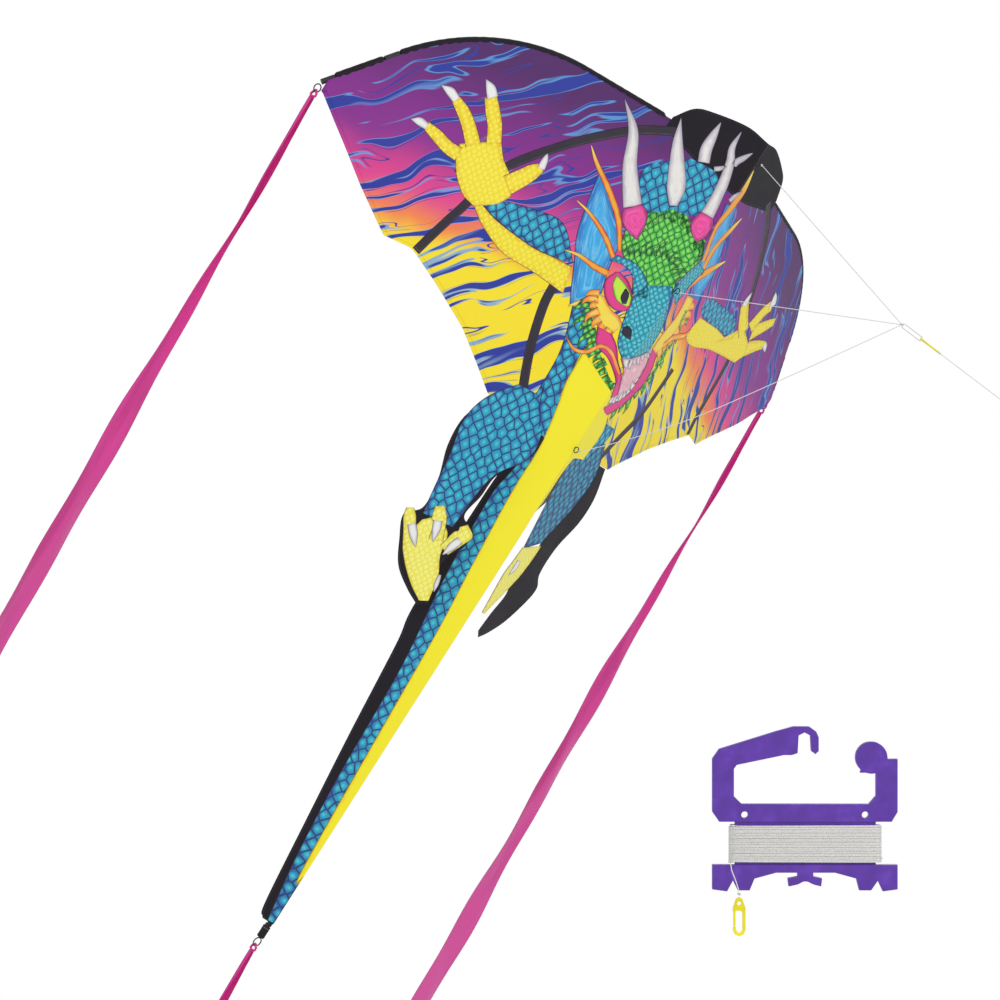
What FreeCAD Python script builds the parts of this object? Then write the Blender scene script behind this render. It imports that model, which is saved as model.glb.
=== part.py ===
"""Dragon kite: a swept-wing single-line kite with a two-sided tail body, a three-leg bridle,
ribbon tails, a line clip and a hand winder.

Frame: the spine is the Z axis with the nose up, +X is the right wing as the flyer sees it and
-Y is the front, towards the flyer.  Each wing is flat and swept back about the spine, so a point
of a wing is given by u, the distance out from the spine, z, the height, and off, the distance in
front of the plane through the spine axis.
"""
import FreeCAD, Part
import math
import os

from FreeCAD import Matrix, Placement, Vector

doc = FreeCAD.newDocument("dragon_kite")
sheet = doc.addObject("Spreadsheet::Sheet", "Sizes")

SIZES = {
    "half_span": 584.0,
    "sweep_angle": 22.0,
    "tail_angle": 50.0,
    "spine_radius": 3.0,
    "spine_joint_height": -700.0,
    "spine_top": 14.0,
    "spine_bottom": -1376.0,
    "ferrule_wall": 1.15,
    "ferrule_length": 60.0,
    "cap_wall": 1.6,
    "cap_length": 20.0,
    "sleeve_radius": 5.6,
    "sleeve_thickness": 0.5,
    "cloth_thickness": 0.8,
    "cloth_offset": 5.0,
    "edge_rod_radius": 2.5,
    "edge_sleeve_radius": 6.0,
    "edge_bend_radius": 355.0,
    "slip_clearance": 0.05,
    "turn_clearance": 0.08,
    "socket_wall": 1.7,
    "socket_height": 10.0,
    "socket_reach": 40.0,
    "spreader_height": -150.0,
    "tape_width": 9.0,
    "ribbon_width": 40.0,
    "ribbon_length": 1850.0,
    "tail_ribbon_length": 800.0,
    "ribbon_thickness": 0.6,
    "ribbon_lean": 3.4,
    "line_radius": 0.6,
    "clip_length": 40.0,
    "clip_width": 13.0,
    "clip_thickness": 2.6,
    "winder_width": 190.0,
    "winder_thickness": 8.0,
    "hang_hole_radius": 3.5,
}


def fill_sheet():
    """Write every driving dimension as a plain number with an alias."""
    for row, (alias, value) in enumerate(SIZES.items(), start=1):
        sheet.set("A%d" % row, alias)
        sheet.set("B%d" % row, str(value))
        sheet.setAlias("B%d" % row, alias)
    doc.recompute()


fill_sheet()


def size(alias):
    """Read one driving dimension from the sheet."""
    return float(getattr(sheet, alias))


PARTS = []
SIDES = {"left": -1.0, "right": 1.0}
SOCKET_SIDE = {"left": 1.0, "right": -1.0}


def keep(thing, label):
    """Label a document object as one sub-part."""
    thing.Label = label
    PARTS.append(thing)
    return thing


def feature(label, shape, place=None):
    """A sub-part whose shape is worked out from the sheet's values."""
    thing = doc.addObject("Part::Feature", label)
    thing.Shape = shape
    if place is not None:
        thing.Placement = place
    return keep(thing, label)


# ------------------------------------------------------------------ frames of reference

def wing_axes(side, angle):
    """Outward direction and front normal of a plane swept back from the spine."""
    sign = SIDES[side]
    turn = math.radians(angle)
    out = Vector(sign * math.cos(turn), math.sin(turn), 0)
    front = Vector(sign * math.sin(turn), -math.cos(turn), 0)
    return out, front


def wing_point(side, u, z, off=0.0, angle=None):
    """A point of a swept plane in the kite's own frame."""
    out, front = wing_axes(side, size("sweep_angle") if angle is None else angle)
    return out * u + front * off + Vector(0, 0, z)


def plane_placement(side, off, thickness, angle=None):
    """Placement that carries a sketch of (u, z) onto a swept plane, its pad centred on off."""
    out, front = wing_axes(side, size("sweep_angle") if angle is None else angle)
    up = Vector(0, 0, 1)
    normal = out.cross(up)
    start = off - thickness / 2 if normal.dot(front) > 0 else off + thickness / 2
    base = front * start
    matrix = Matrix(out.x, up.x, normal.x, base.x,
                    out.y, up.y, normal.y, base.y,
                    out.z, up.z, normal.z, base.z,
                    0, 0, 0, 1)
    return Placement(matrix)


# ------------------------------------------------------------------ sketched bodies

def sketch_plane(body):
    """The body's own XY plane."""
    for item in body.Origin.OriginFeatures:
        if item.Role == "XY_Plane":
            return item
    raise ValueError("no XY plane")


def line_loop(points):
    """Closed loop of straight edges through (u, z) points."""
    corners = [Vector(u, z, 0) for u, z in points]
    ends = corners[1:] + corners[:1]
    return [Part.LineSegment(a, b) for a, b in zip(corners, ends)]


def circle_loop(centre, radius):
    """One full circle."""
    return [Part.Circle(Vector(centre[0], centre[1], 0), Vector(0, 0, 1), radius)]


def padded_body(label, loops, thickness, place):
    """PartDesign body: one sketch of closed loops, padded by a thickness of the sheet."""
    body = doc.addObject("PartDesign::Body", label)
    sketch = body.newObject("Sketcher::SketchObject", label + "_outline")
    sketch.AttachmentSupport = [(sketch_plane(body), "")]
    sketch.MapMode = "FlatFace"
    for loop in loops:
        sketch.addGeometry(loop, False)
    pad = body.newObject("PartDesign::Pad", label + "_pad")
    pad.Profile = sketch
    pad.setExpression("Length", "Sizes." + thickness)
    body.Placement = place
    return keep(body, label)


def strip_outline(points, width):
    """Outline of a band of even width along a line of points."""
    left, right = [], []
    for index, (u, z) in enumerate(points):
        before = points[max(index - 1, 0)]
        after = points[min(index + 1, len(points) - 1)]
        run = math.hypot(after[0] - before[0], after[1] - before[1])
        across = (-(after[1] - before[1]) / run * width / 2, (after[0] - before[0]) / run * width / 2)
        left.append((u + across[0], z + across[1]))
        right.append((u - across[0], z - across[1]))
    return left + right[::-1]


# ------------------------------------------------------------------ rods, tubes and cords

def cylinder(name, radius, height, base, direction):
    """Part::Cylinder with its sizes bound to expressions of the sheet."""
    thing = doc.addObject("Part::Cylinder", name)
    thing.setExpression("Radius", radius)
    thing.setExpression("Height", height)
    thing.Placement = Placement(base, FreeCAD.Rotation(Vector(0, 0, 1), direction))
    return thing


def cut(label, outer, inner):
    """Sub-part made by taking one solid out of another."""
    thing = doc.addObject("Part::Cut", label)
    thing.Base = outer
    thing.Tool = inner
    return keep(thing, label)


def rounded_path(points, radius=None, report=None):
    """Straight runs joined by tangent arcs; with no radius, arcs as large as the runs allow."""
    edges = []
    last = points[0]
    radii = []
    for index in range(1, len(points) - 1):
        corner = points[index]
        back = points[index - 1] - corner
        ahead = points[index + 1] - corner
        half_turn = (math.pi - back.getAngle(ahead)) / 2
        if radius is None:
            reach = 0.45 * min(back.Length, ahead.Length)
        else:
            reach = radius * math.tan(half_turn)
        bend = reach / math.tan(half_turn)
        radii.append(bend)
        back.normalize()
        ahead.normalize()
        start = corner + back * reach
        end = corner + ahead * reach
        middle_way = back + ahead
        middle_way.normalize()
        middle = corner + middle_way * (bend / math.cos(half_turn) - bend)
        edges.append(Part.LineSegment(last, start).toShape())
        edges.append(Part.Arc(start, middle, end).toShape())
        last = end
    edges.append(Part.LineSegment(last, points[-1]).toShape())
    if report:
        print(report, "arc radii", [round(value, 1) for value in radii])
    return Part.Wire(edges)


def sweep(path, radius):
    """Solid of round section along a path."""
    edge = path.OrderedEdges[0]
    start = edge.valueAt(edge.FirstParameter)
    along = edge.tangentAt(edge.FirstParameter)
    section = Part.Wire(Part.makeCircle(radius, start, along))
    solid = path.makePipeShell([section], True, True)
    expected = math.pi * radius ** 2 * path.Length
    if abs(solid.Volume - expected) > 0.02 * expected:
        raise ValueError("swept volume is wrong")
    return solid


def cord(label, points):
    """A cord of the bridle line's section along a list of points."""
    path = rounded_path(points, report=label if len(points) > 2 else None)
    print(label, "length", round(path.Length, 1))
    return feature(label, sweep(path, size("line_radius")))


# ------------------------------------------------------------------ spine and nose

def spine():
    """Two rods joined by an outside ferrule, with a cap at each end."""
    up = Vector(0, 0, 1)
    keep(cylinder("spine_rod_upper", "Sizes.spine_radius", "Sizes.spine_top - Sizes.spine_joint_height",
                  Vector(0, 0, size("spine_joint_height")), up), "spine_rod_upper")
    keep(cylinder("spine_rod_lower", "Sizes.spine_radius",
                  "Sizes.spine_joint_height - Sizes.spine_bottom - 0.05",
                  Vector(0, 0, size("spine_bottom")), up), "spine_rod_lower")
    start = Vector(0, 0, size("spine_joint_height") - size("ferrule_length") / 2)
    outer = cylinder("ferrule_outer", "Sizes.spine_radius + Sizes.slip_clearance + Sizes.ferrule_wall",
                     "Sizes.ferrule_length", start, up)
    inner = cylinder("ferrule_bore", "Sizes.spine_radius + Sizes.slip_clearance",
                     "Sizes.ferrule_length", start, up)
    cut("spine_ferrule", outer, inner)
    rod_cap("spine_nose_cap", Vector(0, 0, size("spine_top")), Vector(0, 0, -1), "spine_radius")
    rod_cap("spine_tail_cap", Vector(0, 0, size("spine_bottom")), up, "spine_radius")


def rod_cap(label, rod_end, inward, radius):
    """Moulded cup on the end of a rod: a closed end one wall thick and a blind bore."""
    gap = 0.05
    outer_base = rod_end - inward * (size("cap_wall") + gap)
    outer = cylinder(label + "_outer", "Sizes.%s + Sizes.cap_wall" % radius, "Sizes.cap_length",
                     outer_base, inward)
    bore = cylinder(label + "_bore", "Sizes.%s + Sizes.slip_clearance" % radius, "Sizes.cap_length",
                    rod_end - inward * gap, inward)
    return cut(label, outer, bore)


def spine_sleeve():
    """Fabric channel over the front of the spine, closed by pockets at the nose and the tail."""
    outer = size("sleeve_radius")
    inner = outer - size("sleeve_thickness")
    half = math.radians(48)
    top, bottom = 26.0, size("spine_bottom") + 16

    def at(radius, angle):
        return Vector(radius * math.sin(angle), -radius * math.cos(angle), bottom)

    wire = Part.Wire([
        Part.Arc(at(outer, -half), at(outer, 0), at(outer, half)).toShape(),
        Part.LineSegment(at(outer, half), at(inner, half)).toShape(),
        Part.Arc(at(inner, half), at(inner, 0), at(inner, -half)).toShape(),
        Part.LineSegment(at(inner, -half), at(outer, -half)).toShape()])
    feature("spine_sleeve", Part.Face(wire).extrude(Vector(0, 0, top - bottom)))


def stop_rings():
    """Two rings gripping the spine above and below the spreader sockets."""
    rod = size("spine_radius") + size("slip_clearance")
    height = size("socket_height")
    rings = []
    for base in (height + 0.6, -height - 0.6 - 4.0):
        place = Vector(0, 0, size("spreader_height") + base)
        rings.append(Part.makeCylinder(rod + 1.6, 4.0, place).cut(Part.makeCylinder(rod, 4.0, place)))
    feature("spine_stop_rings", Part.makeCompound(rings))


def tail_pocket():
    """Reinforced pocket round the tail end of the spine and the cord loop below it."""
    bottom = size("spine_bottom") - 6
    inner = size("spine_radius") + size("cap_wall") + 0.3
    wall = 1.2
    outer = Part.makeCylinder(inner + wall, 20, Vector(0, 0, bottom))
    bore = Part.makeCylinder(inner, 20, Vector(0, 0, bottom + wall))
    feature("tail_pocket", outer.cut(bore))
    loop_radius = 7.0
    feature("tail_loop", ring_solid(Vector(0, 0, bottom - loop_radius - 1.0), loop_radius, 1.0, Vector(0, 1, 0)))


def ring_solid(centre, radius, thickness, normal):
    """A closed ring of round section."""
    return Part.makeTorus(radius, thickness, centre, normal)


# ------------------------------------------------------------------ wings

def u_at_span():
    """Distance out from the spine to the wing tip, along the swept plane."""
    return size("half_span") / math.cos(math.radians(size("sweep_angle")))


def edge_corners(inset=0.0):
    """Corner points of the leading edge line: nose, shoulder and tip, moved inwards by inset."""
    tip_u = u_at_span() - 2
    nose = (14.0, -12.0)
    shoulder = (tip_u - 173, -44.6)
    tip = (tip_u, -262.0)
    if not inset:
        return [nose, shoulder, tip]
    slope_in = math.atan2(shoulder[1] - nose[1], shoulder[0] - nose[0])
    slope_out = math.atan2(tip[1] - shoulder[1], tip[0] - shoulder[0])
    half = (slope_in - slope_out) / 2
    reach = inset / math.cos(half)
    middle = (slope_in + slope_out) / 2
    return [(nose[0] + inset * math.sin(slope_in), nose[1] - inset * math.cos(slope_in)),
            (shoulder[0] + reach * math.sin(middle), shoulder[1] - reach * math.cos(middle)),
            (tip[0] + inset * math.sin(slope_out), tip[1] - inset * math.cos(slope_out))]


def arc_points(corners, radius, count):
    """Points round the arc that joins two straight lines at the middle corner."""
    first, corner, last = [Vector(u, z, 0) for u, z in corners]
    path = rounded_path([first, corner, last], radius)
    arc = path.OrderedEdges[1]
    return [(p.x, p.y) for p in arc.discretize(count)]


def edge_path(side, start, end):
    """Leading edge centre line between two lengths along it, as a wire in the kite's frame."""
    corners = [wing_point(side, u, z) for u, z in edge_corners()]
    whole = rounded_path(corners, size("edge_bend_radius"))
    pieces = []
    walked = 0.0
    for edge in whole.OrderedEdges:
        length = edge.Length
        low = max(start - walked, 0.0)
        high = min(end - walked, length)
        if high > low + 1e-6:
            first = edge.getParameterByLength(low)
            last = edge.getParameterByLength(high)
            pieces.append(edge.Curve.toShape(first, last))
        walked += length
    return Part.Wire(pieces)


def edge_length():
    """Whole length of the leading edge centre line."""
    return edge_path("left", 0.0, 1e6).Length


def straight_start():
    """Length along the leading edge at which the outer straight begins."""
    corners = [wing_point("left", u, z) for u, z in edge_corners()]
    whole = rounded_path(corners, size("edge_bend_radius"))
    return whole.OrderedEdges[0].Length + whole.OrderedEdges[1].Length


def point_along(side, length):
    """Point and direction of the leading edge centre line at a length."""
    path = edge_path(side, 0.0, length)
    edge = path.OrderedEdges[-1]
    return edge.valueAt(edge.LastParameter), edge.tangentAt(edge.LastParameter)


CONNECTOR_HALF = 11.0
HOOD_SPAN = 146.0
TIP_BARE = 22.0


def leading_edge(side):
    """Rod, its fabric sleeve in two lengths, the tip cap and the spreader connector."""
    whole = edge_length()
    gap = 0.4
    connector = straight_start() + CONNECTOR_HALF + 1.0
    rod = size("edge_rod_radius")
    feature("leading_rod_" + side, sweep(edge_path(side, 0.0, whole - 3.0), rod))
    tubes = []
    for start, end in ((HOOD_SPAN, connector - CONNECTOR_HALF - gap),
                       (connector + CONNECTOR_HALF + gap, whole - TIP_BARE)):
        path = edge_path(side, start, end)
        tubes.append(sweep(path, size("edge_sleeve_radius")).cut(sweep(path, rod + 0.4)))
    feature("edge_sleeve_" + side, Part.makeCompound(tubes))
    end_point, along = point_along(side, whole - 3.0)
    rod_cap("tip_cap_" + side, end_point, along * -1, "edge_rod_radius")
    edge_connector(side, connector)


def socket_point(side):
    """Where a half spreader's axis meets the spine axis."""
    drop = SOCKET_SIDE[side] * size("socket_height") / 2
    return Vector(0, 0, size("spreader_height") + drop + SOCKET_SIDE[side] * 0.2)


def edge_connector(side, length):
    """Moulded tee: a tube gripping the leading edge rod and a stub for the half spreader."""
    centre, along = point_along(side, length)
    rod = size("edge_rod_radius")
    inner = rod + size("slip_clearance")
    outer = rod + 2.4
    inward = socket_point(side) - centre
    inward.normalize()
    body = Part.makeCylinder(outer, 2 * CONNECTOR_HALF, centre - along * CONNECTOR_HALF, along)
    stub = Part.makeCylinder(rod + 1.7, 26, centre, inward)
    hole = Part.makeCylinder(inner, 2 * CONNECTOR_HALF, centre - along * CONNECTOR_HALF, along)
    bore = Part.makeCylinder(inner, 20, centre + inward * 6.5, inward)
    feature("edge_connector_" + side, body.fuse(stub).cut(hole).cut(bore).removeSplitter())


def spreader(side):
    """Half spreader rod and the socket that turns on the spine."""
    connector = straight_start() + CONNECTOR_HALF + 1.0
    centre, _ = point_along(side, connector)
    start = socket_point(side)
    way = centre - start
    reach = way.Length
    way.normalize()
    inner_end = 9.0
    rod = size("edge_rod_radius")
    thing = cylinder("spreader_rod_" + side, "Sizes.edge_rod_radius", "Sizes.edge_rod_radius",
                     start + way * inner_end, way)
    thing.setExpression("Height", "%.4f mm" % (reach - inner_end - 6.8))
    keep(thing, "spreader_rod_" + side)
    spine_hole = size("spine_radius") + size("turn_clearance")
    height = size("socket_height")
    base = start - Vector(0, 0, height / 2)
    hub = Part.makeCylinder(spine_hole + size("socket_wall"), height, base)
    arm = Part.makeCylinder(rod + 1.3, size("socket_reach"), start, way)
    level = Part.makeBox(200, 200, height - 0.02, Vector(-100, -100, base.z + 0.01))
    eye = Part.makeCylinder(spine_hole, height, base)
    bore = Part.makeCylinder(rod + size("slip_clearance"), size("socket_reach"), start + way * (inner_end - 0.2), way)
    socket = hub.fuse(arm.common(level)).cut(eye).cut(bore).removeSplitter()
    feature("spreader_socket_" + side, socket)


def wing_outline():
    """Wing cloth: leading edge inside the sleeve, tip, scalloped trailing edge, spine edge."""
    inset = size("edge_sleeve_radius") + 1.0
    corners = edge_corners(inset)
    tip_u = corners[2][0]
    lead = arc_points(corners, size("edge_bend_radius") - inset, 9)
    scallop = [(tip_u - 127, -352), (tip_u - 198, -394), (tip_u - 243, -388), (tip_u - 253, -391),
               (tip_u - 310, -414), (tip_u - 376, -445), (tip_u - 429, -480), (tip_u - 466, -506)]
    inner = 9.0
    nose = [(inner, 24), (58, 24), (118, 10), (150, corners[0][1] - 9)]
    return nose + lead + [(tip_u - 6, -270)] + scallop + [(inner, -506)]


HOOD = [(9.5, 33), (40, 36), (66, 32), (98, 24), (124, 18), (146, -14), (152, -34), (120, -42),
        (66, -52), (9.5, -60)]
OUTER_RIB = [(126, -54), (240, -113), (316, -184), (341, -232), (346, -289), (376, -384)]
INNER_RIB = [(150, -318), (146, -350), (132, -410), (102, -494)]
LEG = [(30, -514), (150, -514), (166, -560), (170, -620), (160, -690), (158, -740), (150, -800),
       (118, -834), (92, -820), (84, -740), (70, -660), (44, -590)]
TAIL = [(11, -524), (70, -524), (72, -620), (72, -829), (63, -897), (50, -1047), (36, -1187),
        (21, -1330), (15, -1352), (11, -1352)]


def wing_cloth(side):
    """Wing panel, black nose patch and the two rib tapes sewn on the front."""
    thin = size("cloth_thickness")
    off = size("cloth_offset")
    padded_body("wing_panel_" + side, [line_loop(wing_outline())], "cloth_thickness",
                plane_placement(side, off, thin))
    front = off + thin + 0.4
    padded_body("nose_patch_" + side, [line_loop(HOOD)], "cloth_thickness",
                plane_placement(side, front, thin))
    for label, line in (("rib_tape_outer_", OUTER_RIB), ("rib_tape_inner_", INNER_RIB)):
        outline = strip_outline(line, size("tape_width"))
        padded_body(label + side, [line_loop(outline)], "cloth_thickness",
                    plane_placement(side, front, thin))


def body_cloth(side):
    """The flap with the hind leg and the steep side of the tail body."""
    thin = size("cloth_thickness")
    off = size("cloth_offset")
    padded_body("leg_panel_" + side, [line_loop(LEG)], "cloth_thickness", plane_placement(side, off, thin))
    padded_body("tail_panel_" + side, [line_loop(TAIL)], "cloth_thickness",
                plane_placement(side, off, thin, size("tail_angle")))


# ------------------------------------------------------------------ ribbons

LOOP_RADIUS = 6.0
LOOP_THICKNESS = 1.0
KNOT_RADIUS = 5.2
KNOT_THICKNESS = 1.6
TIP_DROP = 2.8


def tip_hang(side):
    """Point that a wing tip's ribbon loop hangs from."""
    end, along = point_along(side, edge_length() - 3.0)
    return end + along * (size("cap_wall") + 0.3) - Vector(0, 0, TIP_DROP)


def ribbon(label, top, length):
    """Knot round the bottom of a loop and the ribbon below it, narrow at the knot, leaning forward."""
    pivot = top - Vector(0, 0, 2 * LOOP_RADIUS + 2 * LOOP_THICKNESS - LOOP_THICKNESS + 0.3)
    drop = KNOT_RADIUS - KNOT_THICKNESS - LOOP_THICKNESS - 0.3
    centre = pivot - Vector(0, 0, drop)
    feature("ribbon_knot_" + label, ring_solid(centre, KNOT_RADIUS, KNOT_THICKNESS, Vector(1, 0, 0)))
    start = centre - Vector(0, 0, KNOT_RADIUS + KNOT_THICKNESS + 0.1)
    wide = size("ribbon_width") / 2
    outline = [(-2.5, 0), (2.5, 0), (wide, -0.4 * length), (wide, -length), (0, -length + wide),
               (-wide, -length), (-wide, -0.4 * length)]
    thick = size("ribbon_thickness")
    upright = Matrix(1, 0, 0, 0, 0, 0, -1, thick / 2, 0, 1, 0, 0, 0, 0, 0, 1)
    lean = Placement(start, FreeCAD.Rotation(Vector(1, 0, 0), -size("ribbon_lean")))
    padded_body("ribbon_" + label, [line_loop(outline)], "ribbon_thickness", lean.multiply(Placement(upright)))
    print("ribbon", label, "pivot", [round(v, 2) for v in pivot])


def ribbons():
    """Both tip ribbons with their loops, and the ribbon on the tail loop."""
    for side in SIDES:
        top = tip_hang(side)
        loop_centre = top - Vector(0, 0, LOOP_RADIUS + LOOP_THICKNESS + 0.3)
        feature("tip_loop_" + side, ring_solid(loop_centre, LOOP_RADIUS, LOOP_THICKNESS, Vector(0, 1, 0)))
        ribbon(side, top, size("ribbon_length"))
    tail_top = Vector(0, 0, size("spine_bottom") - 6 - 2 * (7.0 + 1.0) + 2 * (LOOP_RADIUS + LOOP_THICKNESS) + 0.3)
    ribbon("tail", tail_top, size("tail_ribbon_length"))


# ------------------------------------------------------------------ bridle and flying line

TAB_FRONT = -15.4
BRIDLE_HEIGHTS = {"upper": 0.0, "middle": -225.0, "lower": -506.0}
TOW_POINT = Vector(0, -414, -116)
LINE_END = Vector(0, -660, -149)


def bridle():
    """Three tabs on the ridge, three legs, the tow knot and the loop that takes the clip."""
    ring = 4.4
    knots = []
    for label, height in BRIDLE_HEIGHTS.items():
        feature("bridle_tab_" + label, ring_solid(Vector(0, TAB_FRONT + ring, height), ring, 0.8, Vector(1, 0, 0)))
        end = Vector(0, TAB_FRONT - 3.2, height)
        knots.append(Part.makeSphere(2.0, end))
        way = TOW_POINT - end
        way.normalize()
        first = end + way * 2.1
        last = TOW_POINT - way * 3.2
        points = [first, last]
        if label == "lower":
            points = [first, Vector(0, -134, -422), Vector(0, -277, -270), last]
        cord("bridle_leg_" + label, points)
    feature("bridle_knots", Part.makeCompound(knots + [Part.makeSphere(3.0, TOW_POINT)]))
    feature("tow_loop", tow_loop_shape())


def line_way():
    """Direction of the flying line away from the kite."""
    way = LINE_END - TOW_POINT
    way.normalize()
    return way


def local_frame(origin, along, x_axis=None):
    """Placement whose local -Z runs along a direction and whose local X is as given."""
    z_axis = along * -1
    x_axis = x_axis or Vector(1, 0, 0)
    y_axis = z_axis.cross(x_axis)
    y_axis.normalize()
    matrix = Matrix(x_axis.x, y_axis.x, z_axis.x, origin.x,
                    x_axis.y, y_axis.y, z_axis.y, origin.y,
                    x_axis.z, y_axis.z, z_axis.z, origin.z, 0, 0, 0, 1)
    return Placement(matrix)


def stadium_ring(length, half_width, thickness):
    """Closed loop of cord in the local XZ plane, hanging down from the local origin."""
    top, bottom = -half_width, half_width - length
    wire = Part.Wire([
        Part.Arc(Vector(-half_width, 0, top), Vector(0, 0, top + half_width), Vector(half_width, 0, top)).toShape(),
        Part.LineSegment(Vector(half_width, 0, top), Vector(half_width, 0, bottom)).toShape(),
        Part.Arc(Vector(half_width, 0, bottom), Vector(0, 0, bottom - half_width),
                 Vector(-half_width, 0, bottom)).toShape(),
        Part.LineSegment(Vector(-half_width, 0, bottom), Vector(-half_width, 0, top)).toShape()])
    section = Part.Wire(Part.makeCircle(thickness, Vector(-half_width, 0, top), Vector(0, 0, 1)))
    return wire.makePipeShell([section], True, True)


TOW_LOOP_LENGTH = 44.0


def tow_loop_shape():
    """The loop beyond the tow knot, along the flying line."""
    across = line_way().cross(Vector(1, 0, 0))
    across.normalize()
    place = local_frame(TOW_POINT + line_way() * 3.8, line_way(), across)
    loop = stadium_ring(TOW_LOOP_LENGTH, 3.0, size("line_radius"))
    loop.Placement = place
    return loop


def clip_outline():
    """Outer edge, slot and eye of a line clip: hook at the top, tying eye at the bottom."""
    half = size("clip_width") / 2
    length = size("clip_length")
    outer = [(-half, -half), (-half * 0.7, -half * 0.3), (0, 0), (half * 0.7, -half * 0.3), (half, -half),
             (half, -9.0), (half - 3.2, -9.4), (half - 3.2, -7.5), (half - 4.4, -5.0), (0, -3.2),
             (-half + 4.0, -4.6), (-half + 3.2, -7.0), (-half + 3.2, -23.5), (-half + 4.6, -26.0),
             (half - 3.2, -26.0), (half - 3.2, -25.2), (half, -25.2), (half, -29.0),
             (half * 0.5, -length + 2.0), (0, -length), (-half * 0.5, -length + 2.0), (-half, -29.0)]
    return [line_loop(outer), circle_loop((0, -length + 6.5), 2.0)]


def clip(prefix, place):
    """Moulded clip and its springy gate, which closes the side of the hook."""
    thick = size("clip_thickness")
    lay = Placement(Matrix(1, 0, 0, 0, 0, 0, -1, thick / 2, 0, 1, 0, 0, 0, 0, 0, 1))
    padded_body(prefix + "_body", clip_outline(), "clip_thickness", place.multiply(lay))
    half = size("clip_width") / 2
    gate = [(half - 2.8, -9.9), (half - 0.6, -9.6), (half - 0.4, -24.8), (half - 2.8, -24.8)]
    padded_body(prefix + "_gate", [line_loop(gate)], "clip_thickness", place.multiply(lay))
    pivot = place.multVec(Vector(half - 1.6, 0, -24.8))
    print(prefix, "gate pivot", [round(v, 2) for v in pivot],
          "axis", [round(v, 4) for v in place.Rotation.multVec(Vector(0, 1, 0))])


def flying_line():
    """Clip hooked in the tow loop, the first of the flying line and its end loop."""
    way = line_way()
    clip_top = TOW_POINT + way * (3.8 + TOW_LOOP_LENGTH - size("line_radius") - 3.2 - 1.6)
    clip("tow_clip", local_frame(clip_top, way))
    tie = clip_top + way * (size("clip_length") + 2.6)
    feature("line_knots", Part.makeCompound([Part.makeSphere(2.0, tie), Part.makeSphere(2.2, LINE_END)]))
    cord("flying_line", [tie + way * 2.1, LINE_END - way * 2.3])
    loop = stadium_ring(36.0, 6.0, size("line_radius"))
    loop.Placement = local_frame(LINE_END + way * 2.9, way)
    feature("line_end_loop", loop)


# ------------------------------------------------------------------ hand winder

WINDER_PLACE = Placement(Vector(-679, -1230, -699),
                         FreeCAD.Rotation(Vector(0.6079, -0.5855, 0.5363), Vector(0.7068, 0.7068, -0.0295),
                                          Vector(-0.3618, 0.397, 0.8435), "XZY"))


def winder_scale():
    """Ratio of the winder to its drawn width of 190."""
    return size("winder_width") / 190.0


def scaled(points):
    """Winder outline points brought to the winder's real width."""
    ratio = winder_scale()
    return [(x * ratio, z * ratio) for x, z in points]


def slab(points, thickness):
    """Flat piece of the winder in its local XZ plane, centred on the local Y axis."""
    corners = [Vector(x, -thickness / 2, z) for x, z in scaled(points)]
    face = Part.Face(Part.makePolygon(corners + corners[:1]))
    return face.extrude(Vector(0, thickness, 0))


def disc(x, z, radius, thickness):
    """Round boss or hole tool of the winder."""
    ratio = winder_scale()
    return Part.makeCylinder(radius * ratio, thickness, Vector(x * ratio, -thickness / 2, z * ratio),
                             Vector(0, 1, 0))


def winder_frame():
    """Flat C-shaped handle with a hook arm and a round-ended arm over a spool with two flanges."""
    thick = size("winder_thickness")
    upper = slab([(-95, 8), (-95, 62), (-88, 72), (-30, 90), (-12, 95), (4, 95), (11, 90), (13.5, 84),
                  (13.5, 70), (10, 67), (6, 70), (5, 86), (-1, 89), (-7, 86), (-8, 68), (-14, 66),
                  (-22, 66), (-70, 56), (-73, 52), (-73, 24), (-65, 16), (65, 16), (72, 24), (72, 50),
                  (94, 60), (94, 8), (88, -2), (-88, -2)], thick)
    upper = upper.fuse(disc(67.4, 63.3, 16.3, thick)).fuse(slab([(56, 48), (94, 48), (94, 62), (60, 62)], thick))
    core = slab([(-72, -1), (72, -1), (72, -48), (-72, -48)], thick * 0.5)
    lower = slab([(-95, -48), (-62, -50), (62, -50), (94, -48), (94, -71), (79, -73), (74, -62),
                  (67, -72), (55, -72), (52, -60), (30, -54), (8, -54), (8, -58), (17, -60), (16, -68),
                  (8, -66), (2, -63), (-2, -63), (-8, -66), (-17, -68), (-18, -60), (-8, -58),
                  (-8, -54), (-30, -54), (-52, -60), (-57, -72), (-69, -72), (-74, -62), (-80, -73),
                  (-95, -71)], thick)
    lower = lower.fuse(slab([(-95, -46), (94, -46), (94, -52), (-95, -52)], thick))
    frame = upper.fuse(core).fuse(lower)
    for x in (-62, 61):
        frame = frame.cut(disc(x, 5, size("hang_hole_radius") / winder_scale(), 4 * thick))
    return frame.removeSplitter()


WOUND_CLEAR = 0.3


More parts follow.
